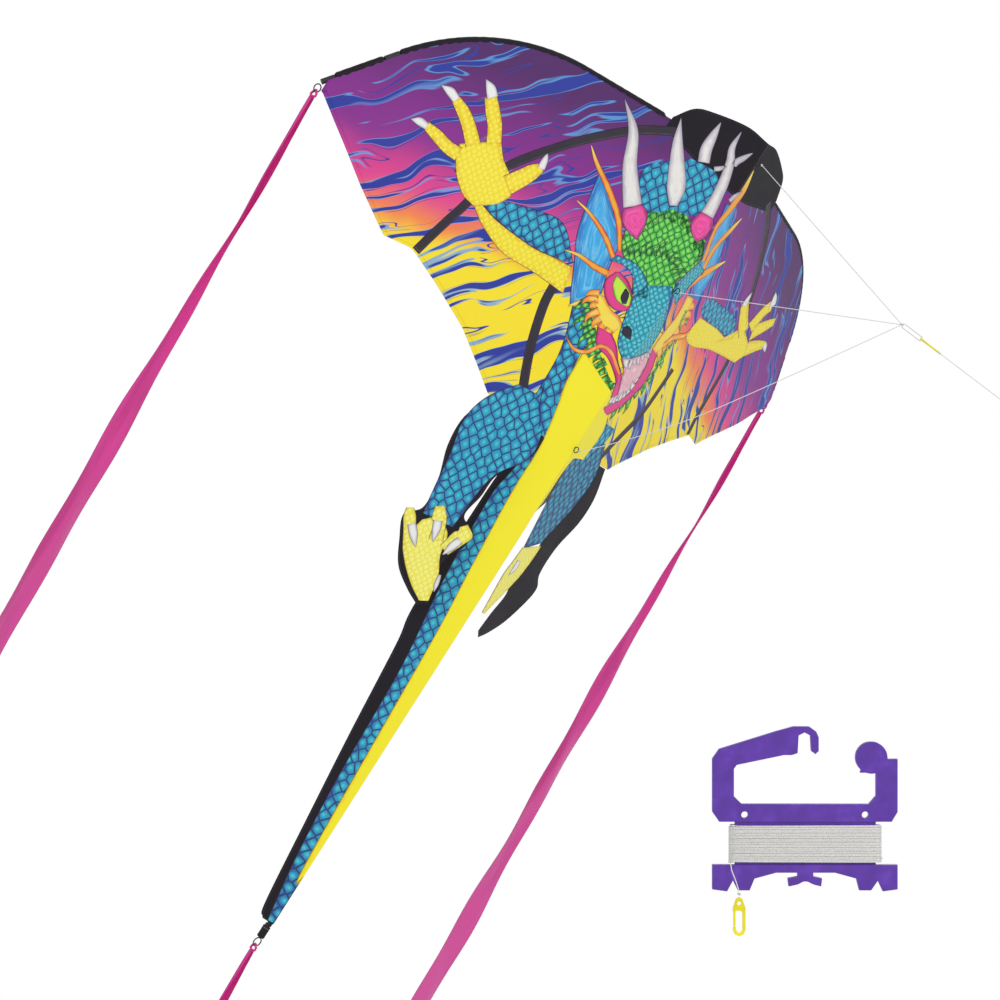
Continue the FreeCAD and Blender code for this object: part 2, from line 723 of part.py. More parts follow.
def winder():
    """Winder frame, the wound line as one closed band, its loose end and the clip on it."""
    feature("winder_frame", winder_frame(), WINDER_PLACE)
    thick = size("winder_thickness")
    band_outer = slab([(-79, -5), (79, -5), (79, -44), (-79, -44)], thick * 1.5)
    band_inner = slab([(-72 - WOUND_CLEAR, -4), (72 + WOUND_CLEAR, -4), (72 + WOUND_CLEAR, -45),
                       (-72 - WOUND_CLEAR, -45)], thick * 0.5 + 2 * WOUND_CLEAR)
    feature("wound_line", band_outer.cut(band_inner), WINDER_PLACE)
    ratio = winder_scale()
    front = -thick * 0.75 - 1.2
    lead = [Vector(-76 * ratio, front, -38 * ratio), Vector(-75 * ratio, front - 1.5, -50 * ratio),
            Vector(-70 * ratio, front - 1.5, -62 * ratio), Vector(-68 * ratio, front, -73 * ratio)]
    cord("winder_line_end", [WINDER_PLACE.multVec(p) for p in lead])
    hang = WINDER_PLACE.multVec(Vector(-68 * ratio, front, -73 * ratio - 2.6))
    up = WINDER_PLACE.Rotation.multVec(Vector(0, 0, 1))
    turn = FreeCAD.Rotation(WINDER_PLACE.Rotation)
    flipped = turn.multiply(FreeCAD.Rotation(Vector(0, 1, 0), 180))
    knot = WINDER_PLACE.multVec(Vector(-68 * ratio, front, -73 * ratio - 2.2))
    feature("winder_line_knot", Part.makeSphere(1.9, knot))
    base = hang - up * (size("clip_length") + 2.6)
    clip("winder_clip", Placement(base, flipped))
    print("winder clip pivot", [round(v, 2) for v in knot])


# ------------------------------------------------------------------ build, check, write

def check_and_write():
    """Stop on any failed object, then write one file for each sub-part."""
    doc.recompute()
    for thing in doc.Objects:
        if "Invalid" in thing.State or "Error" in thing.State:
            raise RuntimeError("failed object " + thing.Label)
    os.makedirs("parts", exist_ok=True)
    for thing in PARTS:
        shape = thing.Shape
        if shape.isNull() or not shape.isValid():
            raise RuntimeError("bad shape " + thing.Label)
        shape.exportStep("parts/%s.step" % thing.Label)
    print(len(PARTS), "sub-parts")


spine()
spine_sleeve()
stop_rings()
tail_pocket()
for wing_side in SIDES:
    leading_edge(wing_side)
    spreader(wing_side)
    wing_cloth(wing_side)
    body_cloth(wing_side)
ribbons()
bridle()
flying_line()
winder()
check_and_write()
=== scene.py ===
"""Dragon kite: printed sail, tail body, ribbons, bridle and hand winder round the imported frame.

Metres throughout.  The spine is the Z axis with the nose up, and -Y faces the flyer.  A point of
the sail is (v, z): v is the distance out from the ridge, negative on the left wing.
"""

import math

import bmesh
import bpy
import numpy as np
from mathutils import Matrix, Vector


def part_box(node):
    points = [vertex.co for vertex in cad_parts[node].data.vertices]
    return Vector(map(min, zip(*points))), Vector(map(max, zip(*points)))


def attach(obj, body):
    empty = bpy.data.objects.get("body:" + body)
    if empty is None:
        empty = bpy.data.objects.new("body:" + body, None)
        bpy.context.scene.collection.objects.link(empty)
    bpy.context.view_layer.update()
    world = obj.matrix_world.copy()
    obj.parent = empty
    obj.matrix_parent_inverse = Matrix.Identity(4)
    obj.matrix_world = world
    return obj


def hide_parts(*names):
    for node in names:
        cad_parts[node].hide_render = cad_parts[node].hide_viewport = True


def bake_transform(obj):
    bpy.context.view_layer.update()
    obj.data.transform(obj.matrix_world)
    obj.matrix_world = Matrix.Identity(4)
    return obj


bl_info = {
    "name": "Dragon Kite",
    "version": (1, 0, 0),
    "blender": (4, 5, 0),
    "location": "3D View > Sidebar > Kite",
    "description": "Builds the cloth, print, lines and winder of a dragon kite on its frame",
    "category": "Object",
}

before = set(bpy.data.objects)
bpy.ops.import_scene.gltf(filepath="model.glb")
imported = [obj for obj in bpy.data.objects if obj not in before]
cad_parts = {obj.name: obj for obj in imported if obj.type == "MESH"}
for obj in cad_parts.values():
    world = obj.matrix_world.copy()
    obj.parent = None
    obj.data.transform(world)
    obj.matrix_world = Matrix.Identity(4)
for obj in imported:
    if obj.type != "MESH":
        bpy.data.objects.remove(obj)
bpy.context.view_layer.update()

MM = 0.001
SWEEP = math.radians(22)
TAIL_SWEEP = math.radians(50)
SIDES = {"left": -1.0, "right": 1.0}
VIEW_RIGHT = Vector((0.6079, -0.5855, 0.5363))
VIEW_UP = Vector((-0.3618, 0.397, 0.8435))
SAIL_REACH = 0.622
SAIL_FOOT = -0.506
CLOTH = "cloth"
RIM = "rim"
RUN = "run"


# ------------------------------------------------------------------ sizes and colours

def length(name, text, value):
    """A length property in metres."""
    return bpy.props.FloatProperty(name=name, description=text, default=value, min=0.0, unit="LENGTH",
                                   precision=5)


def tint(name, text, value):
    """A colour property."""
    return bpy.props.FloatVectorProperty(name=name, description=text, default=value, size=3,
                                         min=0.0, max=1.0, subtype="COLOR")


class KiteClothSizes(bpy.types.PropertyGroup):
    """Sizes of the cloth and the printed layers."""
    front: length("Front face", "Distance of the sail's front face before the plane of the spine", 0.0057)
    thickness: length("Thickness", "Thickness of the sail cloth", 0.00012)
    layer: length("Layer", "Height of one printed layer over the one below", 0.00008)
    ripple: length("Ripple", "Height of the soft waves in the free part of the sail", 0.0016)
    hem: length("Hem", "Width of the sewn hem", 0.007)
    edge_sleeve: length("Edge sleeve", "Outer radius of the leading edge sleeve", 0.006)


class KiteRibbonSizes(bpy.types.PropertyGroup):
    """Sizes of the ribbons."""
    width: length("Width", "Flat width of a ribbon", 0.04)
    tip_length: length("Tip length", "Length of the two wing tip ribbons", 1.85)
    tail_length: length("Tail length", "Length of the tail ribbon", 0.8)
    lean: bpy.props.FloatProperty(name="Lean", description="Forward lean of the ribbons",
                                  default=math.radians(3.4), subtype="ANGLE")


class KiteLineSizes(bpy.types.PropertyGroup):
    """Sizes of the bridle and flying line."""
    radius: length("Radius", "Radius of the line", 0.0006)
    strand: length("Knot strand", "Radius of the line inside a pulled knot", 0.00062)


class KiteColours(bpy.types.PropertyGroup):
    """Colours of the cloth, the ribbons and the moulded parts."""
    night: tint("Upper sail", "Colour of the sail below its leading edge", (0.075, 0.006, 0.13))
    purple: tint("Middle sail", "Purple of the middle of the sail", (0.24, 0.012, 0.27))
    pink: tint("Lower sail", "Pink below the purple", (0.78, 0.05, 0.28))
    peach: tint("Edge glow", "Orange above the trailing edge", (0.96, 0.24, 0.07))
    yellow: tint("Trailing edge", "Yellow along the trailing edge", (0.98, 0.78, 0.01))
    stripe: tint("Stripes", "Dark blue of the stripes", (0.012, 0.03, 0.34))
    stripe_edge: tint("Stripe edges", "Light blue round the stripes", (0.10, 0.36, 0.78))
    ribbon: tint("Ribbons", "Pink of the ribbons", (0.70, 0.012, 0.27))
    winder: tint("Winder", "Purple of the moulded winder", (0.12, 0.035, 0.42))
    clip: tint("Clips", "Yellow of the moulded clips", (0.96, 0.84, 0.004))


def cloth_sizes():
    """Current cloth sizes."""
    return bpy.context.scene.kite_cloth


def colours():
    """Current colours."""
    return bpy.context.scene.kite_colours


# ------------------------------------------------------------------ shader sheets

class Field:
    """A socket of a node tree; arithmetic on it adds the Math nodes."""

    def __init__(self, recipe, socket):
        self.recipe = recipe
        self.socket = socket

    def _math(self, operation, first, second=None):
        values = {0: first} if second is None else {0: first, 1: second}
        return self.recipe.node("ShaderNodeMath", {"operation": operation}, values)[0]

    def __add__(self, other):
        return self._math("ADD", self, other)

    def __radd__(self, other):
        return self._math("ADD", other, self)

    def __sub__(self, other):
        return self._math("SUBTRACT", self, other)

    def __rsub__(self, other):
        return self._math("SUBTRACT", other, self)

    def __mul__(self, other):
        return self._math("MULTIPLY", self, other)

    def __rmul__(self, other):
        return self._math("MULTIPLY", other, self)

    def __abs__(self):
        return self._math("ABSOLUTE", self)

    def __mod__(self, other):
        return self._math("FLOORED_MODULO", self, other)

    def sine(self):
        return self._math("SINE", self)

    def rise(self, low, high):
        """0 below low, 1 above high, smooth between (reversed where low is above high)."""
        settings = {"interpolation_type": "SMOOTHSTEP"}
        flip = low > high
        values = {"Value": self, "From Min": min(low, high), "From Max": max(low, high),
                  "To Min": 1.0 if flip else 0.0, "To Max": 0.0 if flip else 1.0}
        return self.recipe.node("ShaderNodeMapRange", settings, values)[0]


class Recipe:
    """A material with one Principled shader, built from named nodes."""

    def __init__(self, name, roughness=0.5, **constants):
        self.material = bpy.data.materials.new(name)
        self.material.use_nodes = True
        self.tree = self.material.node_tree
        self.shader = self.tree.nodes["Principled BSDF"]
        self.shader.inputs["Roughness"].default_value = roughness
        for key, value in constants.items():
            self.shader.inputs[key.replace("_", " ")].default_value = value

    def put(self, socket, value):
        """Link a field to a socket, or set the socket's own value."""
        if isinstance(value, Field):
            self.tree.links.new(value.socket, socket)
        elif hasattr(value, "__len__") and len(value) == 3 and socket.type == "RGBA":
            socket.default_value = (*value, 1.0)
        else:
            socket.default_value = value

    def node(self, kind, settings=None, values=None):
        """Add a node: settings first, then its sockets; returns the fields of its outputs."""
        made = self.tree.nodes.new(kind)
        for key, value in (settings or {}).items():
            setattr(made, key, value)
        for key, value in (values or {}).items():
            self.put(made.inputs[key], value)
        return [Field(self, socket) for socket in made.outputs]

    def place(self):
        """Position on the cloth, in metres, as separate numbers and as a vector."""
        vector = self.node("ShaderNodeUVMap", {"uv_map": CLOTH})[0]
        x, y, _ = self.node("ShaderNodeSeparateXYZ", None, {0: vector})
        return x, y, vector

    def local(self):
        """Object coordinates, in metres."""
        return self.node("ShaderNodeTexCoord")[3]

    def attribute(self, name):
        """A number stored on the mesh."""
        return self.node("ShaderNodeAttribute", {"attribute_name": name})[2]

    def stretch(self, vector, scale, turn=0.0):
        """A vector scaled on each axis, turned about Z first."""
        return self.node("ShaderNodeMapping", {"vector_type": "POINT"},
                         {"Vector": vector, "Scale": scale, "Rotation": (0, 0, turn)})[0]

    def noise(self, vector, scale, detail=3.0, distortion=0.0):
        """Noise from 0 to 1."""
        return self.node("ShaderNodeTexNoise", {"noise_dimensions": "3D"},
                         {"Vector": vector, "Scale": scale, "Detail": detail, "Distortion": distortion})[0]

    def mix(self, share, first, second):
        """Colour between first and second."""
        settings = {"data_type": "RGBA", "blend_type": "MIX", "clamp_factor": True}
        return self.node("ShaderNodeMix", settings, {0: share, 6: first, 7: second})[2]

    def finish(self, colour=None, roughness=None, height=None, distance=0.0002, strength=0.6):
        """Join the colour, the roughness and the surface height to the shader."""
        if colour is not None:
            self.put(self.shader.inputs["Base Color"], colour)
        if roughness is not None:
            self.put(self.shader.inputs["Roughness"], roughness)
        if height is not None:
            bump = self.node("ShaderNodeBump", None,
                             {"Height": height, "Distance": distance, "Strength": strength})[0]
            self.put(self.shader.inputs["Normal"], bump)
        return self.material


def weave(recipe):
    """Height of ripstop cloth: fine threads and a thicker thread every 5 mm, with soft creases."""
    v, z, vector = recipe.place()
    threads = (v * 6283.0).sine() * 0.12 + (z * 6283.0).sine() * 0.12
    ripstop = abs(v % 0.005 - 0.0025).rise(0.0021, 0.0025) + abs(z % 0.005 - 0.0025).rise(0.0021, 0.0025)
    crease = recipe.noise(recipe.stretch(vector, (5.0, 9.0, 1.0), 0.5), 1.6, 2.0, 0.8)
    return threads + ripstop * 0.35 + crease * 9.0


def wing_finish(name):
    """Dyed sail: purple to pink to yellow downwards, with wavy blue stripes."""
    tone = colours()
    recipe = Recipe(name, 0.5, Sheen_Weight=0.06)
    v, z, vector = recipe.place()
    out = abs(v)
    soft = recipe.noise(vector, 9.0, 2.0)
    depth = (0.0 - z) - (out - 0.300) * 0.25 + (soft - 0.5) * 0.05
    colour = recipe.mix(depth.rise(0.06, 0.19), tuple(tone.night), tuple(tone.purple))
    colour = recipe.mix(depth.rise(0.20, 0.285), colour, tuple(tone.pink))
    colour = recipe.mix(depth.rise(0.275, 0.325), colour, tuple(tone.peach))
    colour = recipe.mix(depth.rise(0.315, 0.355), colour, tuple(tone.yellow))
    sway = recipe.noise(vector, 11.0, 1.0)
    lean = recipe.node("ShaderNodeCombineXYZ", None,
                       {0: out + z * 0.5, 1: z + out * 0.95 + sway * 0.07, 2: v * 0.1})[0]
    flow = recipe.noise(recipe.stretch(lean, (11.0, 46.0, 1.0)), 1.0, 1.0, 0.5)
    ring = abs(flow - 0.5)
    fade = recipe.noise(recipe.stretch(lean, (14.0, 12.0, 1.0)), 1.0, 1.0)
    cutout = flow.rise(0.585, 0.60) * fade.rise(0.34, 0.40)
    halo = flow.rise(0.555, 0.575) * fade.rise(0.33, 0.38)
    colour = recipe.mix(halo * 0.8, colour, tuple(tone.stripe_edge))
    colour = recipe.mix(cutout, colour, tuple(tone.stripe))
    thin = ring.rise(0.014, 0.007) * fade.rise(0.50, 0.54)
    colour = recipe.mix(thin, colour, tuple(tone.stripe))
    return recipe.finish(colour, 0.46 + soft * 0.12, weave(recipe), 0.0001)


def print_finish(name, middle, edge, line, outline=0.0016, depth=0.012, pattern=None):
    """Printed figure: a middle colour, an edge colour towards its rim and a thin dark outline."""
    recipe = Recipe(name, 0.48, Sheen_Weight=0.05)
    vector = recipe.place()[2]
    rim = recipe.attribute(RIM)
    run = recipe.attribute(RUN)
    mottle = recipe.noise(vector, 60.0, 2.0)
    shade = (rim + (mottle - 0.5) * 0.006).rise(depth, 0.0)
    colour = recipe.mix(shade, middle, edge)
    if pattern:
        colour = pattern(recipe, colour, vector, rim, run)
    if outline:
        colour = recipe.mix(rim.rise(outline, outline * 0.6), colour, line)
    return recipe.finish(colour, 0.44 + mottle * 0.1, weave(recipe), 0.0001)


def scales(size, dark, light, glow):
    """Overlapping reptile scales: dark joints, mid tone and a light spot on each."""
    def pattern(recipe, colour, vector, rim, run):
        stretched = recipe.stretch(vector, (1.0 / size, 0.8 / size, 1.0), 0.6)
        cell, spot = [recipe.node("ShaderNodeTexVoronoi", {"feature": feature, "voronoi_dimensions": "2D"},
                                  {"Vector": stretched, "Scale": 1.0, "Randomness": 0.45})[0]
                      for feature in ("DISTANCE_TO_EDGE", "F1")]
        colour = recipe.mix(spot.rise(0.5, 0.12), colour, light)
        colour = recipe.mix(spot.rise(0.2, 0.02) * 0.6, colour, glow)
        return recipe.mix(cell.rise(0.11, 0.03), colour, dark)
    return pattern


def streaks(light, amount, scale=(60.0, 700.0)):
    """Fine streaks that run along a horn, a fin or a muzzle."""
    def pattern(recipe, colour, vector, rim, run):
        along = recipe.node("ShaderNodeCombineXYZ", None, {0: run, 1: rim, 2: 0.0})[0]
        line = recipe.noise(recipe.stretch(along, (scale[0], scale[1], 1.0)), 1.0, 3.0)
        return recipe.mix(line.rise(0.45, 0.7) * amount, colour, light)
    return pattern


def tips(colour_at_tip, start, end):
    """A second colour towards the first end of a spine or finger."""
    def pattern(recipe, colour, vector, rim, run):
        return recipe.mix(run.rise(end, start), colour, colour_at_tip)
    return pattern


INK = (0.012, 0.010, 0.03)
PRINTS = {
    "scale": ((0.012, 0.30, 0.52), (0.010, 0.09, 0.36), INK, 0.0014, 0.014,
              scales(0.0125, (0.008, 0.03, 0.16), (0.02, 0.46, 0.62), (0.12, 0.68, 0.74))),
    "scale_dark": ((0.010, 0.16, 0.34), (0.008, 0.045, 0.20), INK, 0.0014, 0.016,
                   scales(0.0125, (0.006, 0.02, 0.10), (0.015, 0.32, 0.50), (0.06, 0.50, 0.62))),
    "horn": ((0.86, 0.84, 0.80), (0.42, 0.38, 0.46), (0.10, 0.08, 0.14), 0.001, 0.009,
             streaks((0.60, 0.55, 0.60), 0.55)),
    "horn_base": ((0.86, 0.05, 0.34), (0.30, 0.01, 0.16), INK, 0.001, 0.009,
                  streaks((0.95, 0.30, 0.55), 0.5)),
    "crest": ((0.06, 0.52, 0.06), (0.01, 0.20, 0.03), (0.01, 0.07, 0.02), 0.0014, 0.010,
              scales(0.0085, (0.006, 0.11, 0.02), (0.20, 0.72, 0.10), (0.52, 0.86, 0.16))),
    "fin": ((0.03, 0.40, 0.80), (0.01, 0.16, 0.55), INK, 0.0014, 0.02,
            streaks((0.30, 0.70, 0.92), 0.6, (30.0, 260.0))),
    "spine": ((0.93, 0.42, 0.03), (0.70, 0.06, 0.02), (0.25, 0.02, 0.02), 0.0008, 0.004,
              tips((0.95, 0.82, 0.10), 0.0, 0.045)),
    "snout": ((0.03, 0.44, 0.55), (0.01, 0.15, 0.36), INK, 0.0014, 0.012,
              scales(0.0065, (0.01, 0.12, 0.28), (0.07, 0.58, 0.62), (0.30, 0.78, 0.70))),
    "magenta": ((0.80, 0.04, 0.26), (0.36, 0.01, 0.13), INK, 0.001, 0.006, None),
    "lime": ((0.55, 0.86, 0.05), (0.16, 0.52, 0.03), INK, 0.0008, 0.004, None),
    "dark": (INK, INK, INK, 0.0, 0.002, None),
    "flame": ((0.96, 0.72, 0.05), (0.92, 0.20, 0.03), (0.30, 0.02, 0.03), 0.001, 0.009,
              streaks((0.95, 0.86, 0.25), 0.6)),
    "mouth": ((0.84, 0.40, 0.50), (0.52, 0.06, 0.20), INK, 0.001, 0.008,
              streaks((0.95, 0.86, 0.88), 0.8, (90.0, 500.0))),
    "palm": ((0.96, 0.82, 0.03), (0.78, 0.42, 0.01), (0.16, 0.07, 0.01), 0.0010, 0.010,
             scales(0.007, (0.90, 0.66, 0.02), (0.97, 0.86, 0.06), (0.98, 0.92, 0.16))),
    "claw": ((0.88, 0.88, 0.86), (0.52, 0.50, 0.56), (0.12, 0.10, 0.14), 0.0009, 0.005, None),
    "foot": ((0.95, 0.90, 0.16), (0.78, 0.62, 0.03), (0.16, 0.12, 0.02), 0.0010, 0.010,
             scales(0.007, (0.86, 0.76, 0.06), (0.96, 0.93, 0.22), (0.98, 0.96, 0.40))),
    "belly": ((0.97, 0.86, 0.01), (0.90, 0.66, 0.01), (0.30, 0.20, 0.01), 0.0010, 0.004, None),
    "rib": ((0.016, 0.010, 0.024), (0.05, 0.02, 0.06), (0.004, 0.003, 0.006), 0.0010, 0.004, None),
    "hood": ((0.011, 0.008, 0.015), (0.011, 0.008, 0.015), (0.004, 0.003, 0.006), 0.0, 0.004, None),
}


def stitched_finish(name, base, thread, roughness=0.62):
    """Black polyester with a line of stitches a little way in from its rim."""
    recipe = Recipe(name, roughness, Specular_IOR_Level=0.2)
    vector = recipe.place()[2]
    rim = recipe.attribute(RIM)
    run = recipe.attribute(RUN)
    stitch = abs(rim - 0.0026).rise(0.0005, 0.0003) * (run % 0.0032 - 0.0004).rise(0.0, 0.0002)
    worn = recipe.noise(vector, 40.0, 3.0)
    colour = recipe.mix(worn * 0.2, base, tuple(min(1.0, c * 2.6 + 0.004) for c in base))
    colour = recipe.mix(stitch, colour, thread)
    return recipe.finish(colour, roughness - worn * 0.1, weave(recipe) + stitch * 3.0, 0.00015)


def cord_finish(name, base, dark, twist):
    """Laid line: strands wound round its length, with painted shade in the grooves between them."""
    recipe = Recipe(name, 0.6, Sheen_Weight=0.05)
    along, around, _ = recipe.place()
    strand = (along * twist + around * 6.2832 * 2.0).sine()
    # Painted shade: the strand wave that raises the bump also makes the grooves between strands dark.
    colour = recipe.mix(strand.rise(-1.0, 0.6), dark, base)
    return recipe.finish(colour, None, strand, 0.00015)


def line_finish(name, base, dark):
    """Fine braided line that has no map of its own: the lay follows the object's space, with painted shade in
    the hollows of the braid.
    """
    recipe = Recipe(name, 0.58, Sheen_Weight=0.05)
    fibres = recipe.noise(recipe.local(), 1400.0, 2.0)
    # Painted shade: the fibre noise that raises the bump also darkens its low parts.
    colour = recipe.mix(fibres.rise(0.3, 0.62), dark, base)
    return recipe.finish(colour, 0.5 + fibres * 0.2, fibres, 0.0002)


def moulded_finish(name, base, roughness=0.34, wear=0.12):
    """Injection moulded plastic: a fine spark texture, slight flow marks and paler wear."""
    recipe = Recipe(name, roughness, Specular_IOR_Level=0.5)
    place = recipe.local()
    grain = recipe.noise(place, 1800.0, 2.0)
    flow = recipe.noise(place, 60.0, 2.0)
    pale = tuple(min(1.0, c * 1.25 + 0.03) for c in base)
    deep = tuple(c * 0.82 for c in base)
    colour = recipe.mix(flow.rise(0.35, 0.7), deep, base)
    colour = recipe.mix(flow.rise(0.58, 0.75) * wear * 3.0, colour, pale)
    return recipe.finish(colour, roughness + grain * 0.12 - 0.04, grain + flow * 2.0, 0.00006)


def rod_finish(name, base, streak):
    """Pultruded glass fibre: fibres along the rod under a thin gloss resin."""
    recipe = Recipe(name, 0.3, Coat_Weight=0.25)
    place = recipe.local()
    fibres = recipe.noise(recipe.stretch(place, (900.0, 900.0, 12.0)), 1.0, 3.0)
    colour = recipe.mix(fibres.rise(0.35, 0.7), base, streak)
    return recipe.finish(colour, 0.26 + fibres * 0.18, fibres, 0.00005)


def ribbon_finish(name):
    """Thin nylon ribbon: painted pleat shade that darkens it near the knot, painted shade in its soft creases,
    darker selvedges and a soft weave.
    """
    tone = colours()
    recipe = Recipe(name, 0.42, Sheen_Weight=0.1)
    across, along, vector = recipe.place()
    rim = recipe.attribute(RIM)
    soft = recipe.noise(recipe.stretch(vector, (30.0, 3.0, 1.0)), 1.0, 3.0, 0.4)
    low = (0.0 - along).rise(0.1, 1.2)
    base = tuple(tone.ribbon)
    pale = (0.72, 0.16, 0.46)
    deep = tuple(c * 0.55 for c in base)
    # Painted shade: the ribbon is left darker near the knot, where it pleats, and turns paler further down.
    colour = recipe.mix(low * 0.45, base, pale)
    # Painted shade: the soft crease noise that raises the bump also darkens its hollows.
    colour = recipe.mix(soft.rise(0.5, 0.3) * 0.5, colour, deep)
    colour = recipe.mix(rim.rise(0.0012, 0.0006) * 0.6, colour, deep)
    threads = (across * 9000.0).sine() * 0.3 + (along * 9000.0).sine() * 0.3
    return recipe.finish(colour, 0.36 + soft * 0.16, threads + soft * 6.0, 0.0001)


FINISHES = {}


def made(name):
    """The kite's own finish of that name, made on first use."""
    if name not in FINISHES:
        FINISHES[name] = finish_of(name)
    return FINISHES[name]


def finish_of(name):
    """Make one finish: its maker is called with its name and its own values."""
    tone = colours()
    makers = {
        "black_cloth": (stitched_finish, (0.010, 0.008, 0.013), (0.05, 0.045, 0.06)),
        "webbing": (stitched_finish, (0.014, 0.012, 0.016), (0.20, 0.19, 0.21), 0.7),
        # For the cords the second colour is painted shade for the grooves between strands.
        "black_cord": (cord_finish, (0.03, 0.026, 0.034), (0.006, 0.005, 0.008), 2400.0),
        "knot_line": (cord_finish, (0.86, 0.85, 0.82), (0.56, 0.55, 0.54), 5000.0),
        # For white_line the second colour is painted shade for the hollows of its braid.
        "white_line": (line_finish, (0.88, 0.87, 0.84), (0.60, 0.59, 0.58)),
        "glassfibre": (rod_finish, (0.035, 0.033, 0.036), (0.11, 0.10, 0.11)),
        "ferrule": (rod_finish, (0.10, 0.10, 0.105), (0.24, 0.24, 0.25)),
        "moulded_black": (moulded_finish, (0.018, 0.017, 0.02), 0.42),
        "clip_plastic": (moulded_finish, tuple(tone.clip), 0.3, 0.05),
        "winder_plastic": (moulded_finish, tuple(tone.winder), 0.32, 0.1),
        "wing_cloth": (wing_finish,),
        "ribbon": (ribbon_finish,),
    }
    if name.startswith("print_"):
        return print_finish(name, *PRINTS[name[len("print_"):]])
    maker, *values = makers[name]
    return maker(name, *values)


# ------------------------------------------------------------------ surfaces

def linked(name, data):
    """New object in the scene."""
    new = bpy.data.objects.new(name, data)
    bpy.context.scene.collection.objects.link(new)
    return new


def node_box(node):
    """Lowest and highest corner of a node as arrays."""
    low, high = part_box(node)
    return np.array(low), np.array(high)


def smooth(value):
    """Smooth step of a value already running from 0 to 1."""
    held = np.clip(value, 0, 1)
    return held * held * (3 - 2 * held)


def sail_point(v, z, off, body=False):
    """Point of the sail: a plane swept back from the ridge by 22 degrees, off metres in front of
    the plane through the spine.  On the tail body the sweep grows to 50 degrees below the wing."""
    v, z = np.broadcast_arrays(np.asarray(v, float), np.asarray(z, float))
    sweep = np.full(v.shape, SWEEP)
    if body:
        sweep = sweep + (TAIL_SWEEP - SWEEP) * smooth((SAIL_FOOT - z) / 0.16)
    out = np.abs(v)
    free = smooth((out - 0.06) / 0.12) * smooth((lead_height(out) - z - 0.05) / 0.12)
    wave = cloth_sizes().ripple * np.sin(38.0 * z + 17.0 * out + 2.0 * np.sin(9.0 * out)) * free
    front = off + (0 if body else wave)
    reach = out - front * np.tan(sweep) * smooth(1 - out / 0.02)
    x = np.sign(v) * (reach * np.cos(sweep) + front * np.sin(sweep))
    y = reach * np.sin(sweep) - front * np.cos(sweep)
    return np.stack([np.where(out < 1e-9, 0.0, x), y, z], -1)


NOSE = np.array((14.0, -12.0)) * MM
SHOULDER = np.array((454.87, -44.6)) * MM
TIP = np.array((627.87, -262.0)) * MM
BEND = 0.355


def lead_line(count=240):
    """Leading edge centre line as (u, z): a straight, an arc of 355 mm and a second straight."""
    first = SHOULDER - NOSE
    last = TIP - SHOULDER
    first_length, last_length = np.hypot(*first), np.hypot(*last)
    slope_in, slope_out = math.atan2(first[1], first[0]), math.atan2(last[1], last[0])
    turn = slope_in - slope_out
    reach = BEND * math.tan(turn / 2)
    straight = first_length - reach
    arc = BEND * turn
    total = straight + arc + last_length - reach
    s = np.linspace(0, total, count)
    square = np.array((math.sin(slope_in), -math.cos(slope_in)))
    centre = NOSE + first / first_length * straight + BEND * square
    heading = slope_in - np.clip((s - straight) / BEND, 0, turn)
    u = np.where(s < straight, NOSE[0] + s * math.cos(slope_in), centre[0] - BEND * np.sin(heading))
    z = np.where(s < straight, NOSE[1] + s * math.sin(slope_in), centre[1] + BEND * np.cos(heading))
    past = np.maximum(s - straight - arc, 0)
    return s, u + past * math.cos(slope_out), z + past * math.sin(slope_out), straight + arc


EDGE_S, EDGE_U, EDGE_Z, EDGE_STRAIGHT = lead_line()


def lead_height(out):
    """Height of the leading edge at a distance out from the ridge."""
    return np.interp(out, EDGE_U, EDGE_Z)


def curve(points, count):
    """Smooth curve through a few points: a Catmull-Rom spline, evenly divided between them."""
    p = np.asarray(points, float)
    if len(p) == 2:
        return p[0] + (p[1] - p[0]) * np.linspace(0, 1, count)[:, None]
    ends = np.vstack([2 * p[0] - p[1], p, 2 * p[-1] - p[-2]])
    t = np.linspace(0, len(p) - 1, count)
    i = np.minimum(t.astype(int), len(p) - 2)
    f = (t - i)[:, None]
    a, b, c, d = ends[i], ends[i + 1], ends[i + 2], ends[i + 3]
    return 0.5 * (2 * b + (c - a) * f + (2 * a - 5 * b + 4 * c - d) * f ** 2
                  + (3 * b - a - 3 * c + d) * f ** 3)


def walked(points):
    """Distance walked along a line of points."""
    steps = np.linalg.norm(np.diff(points, axis=0), axis=-1)
    return np.concatenate([[0.0], np.cumsum(steps)])


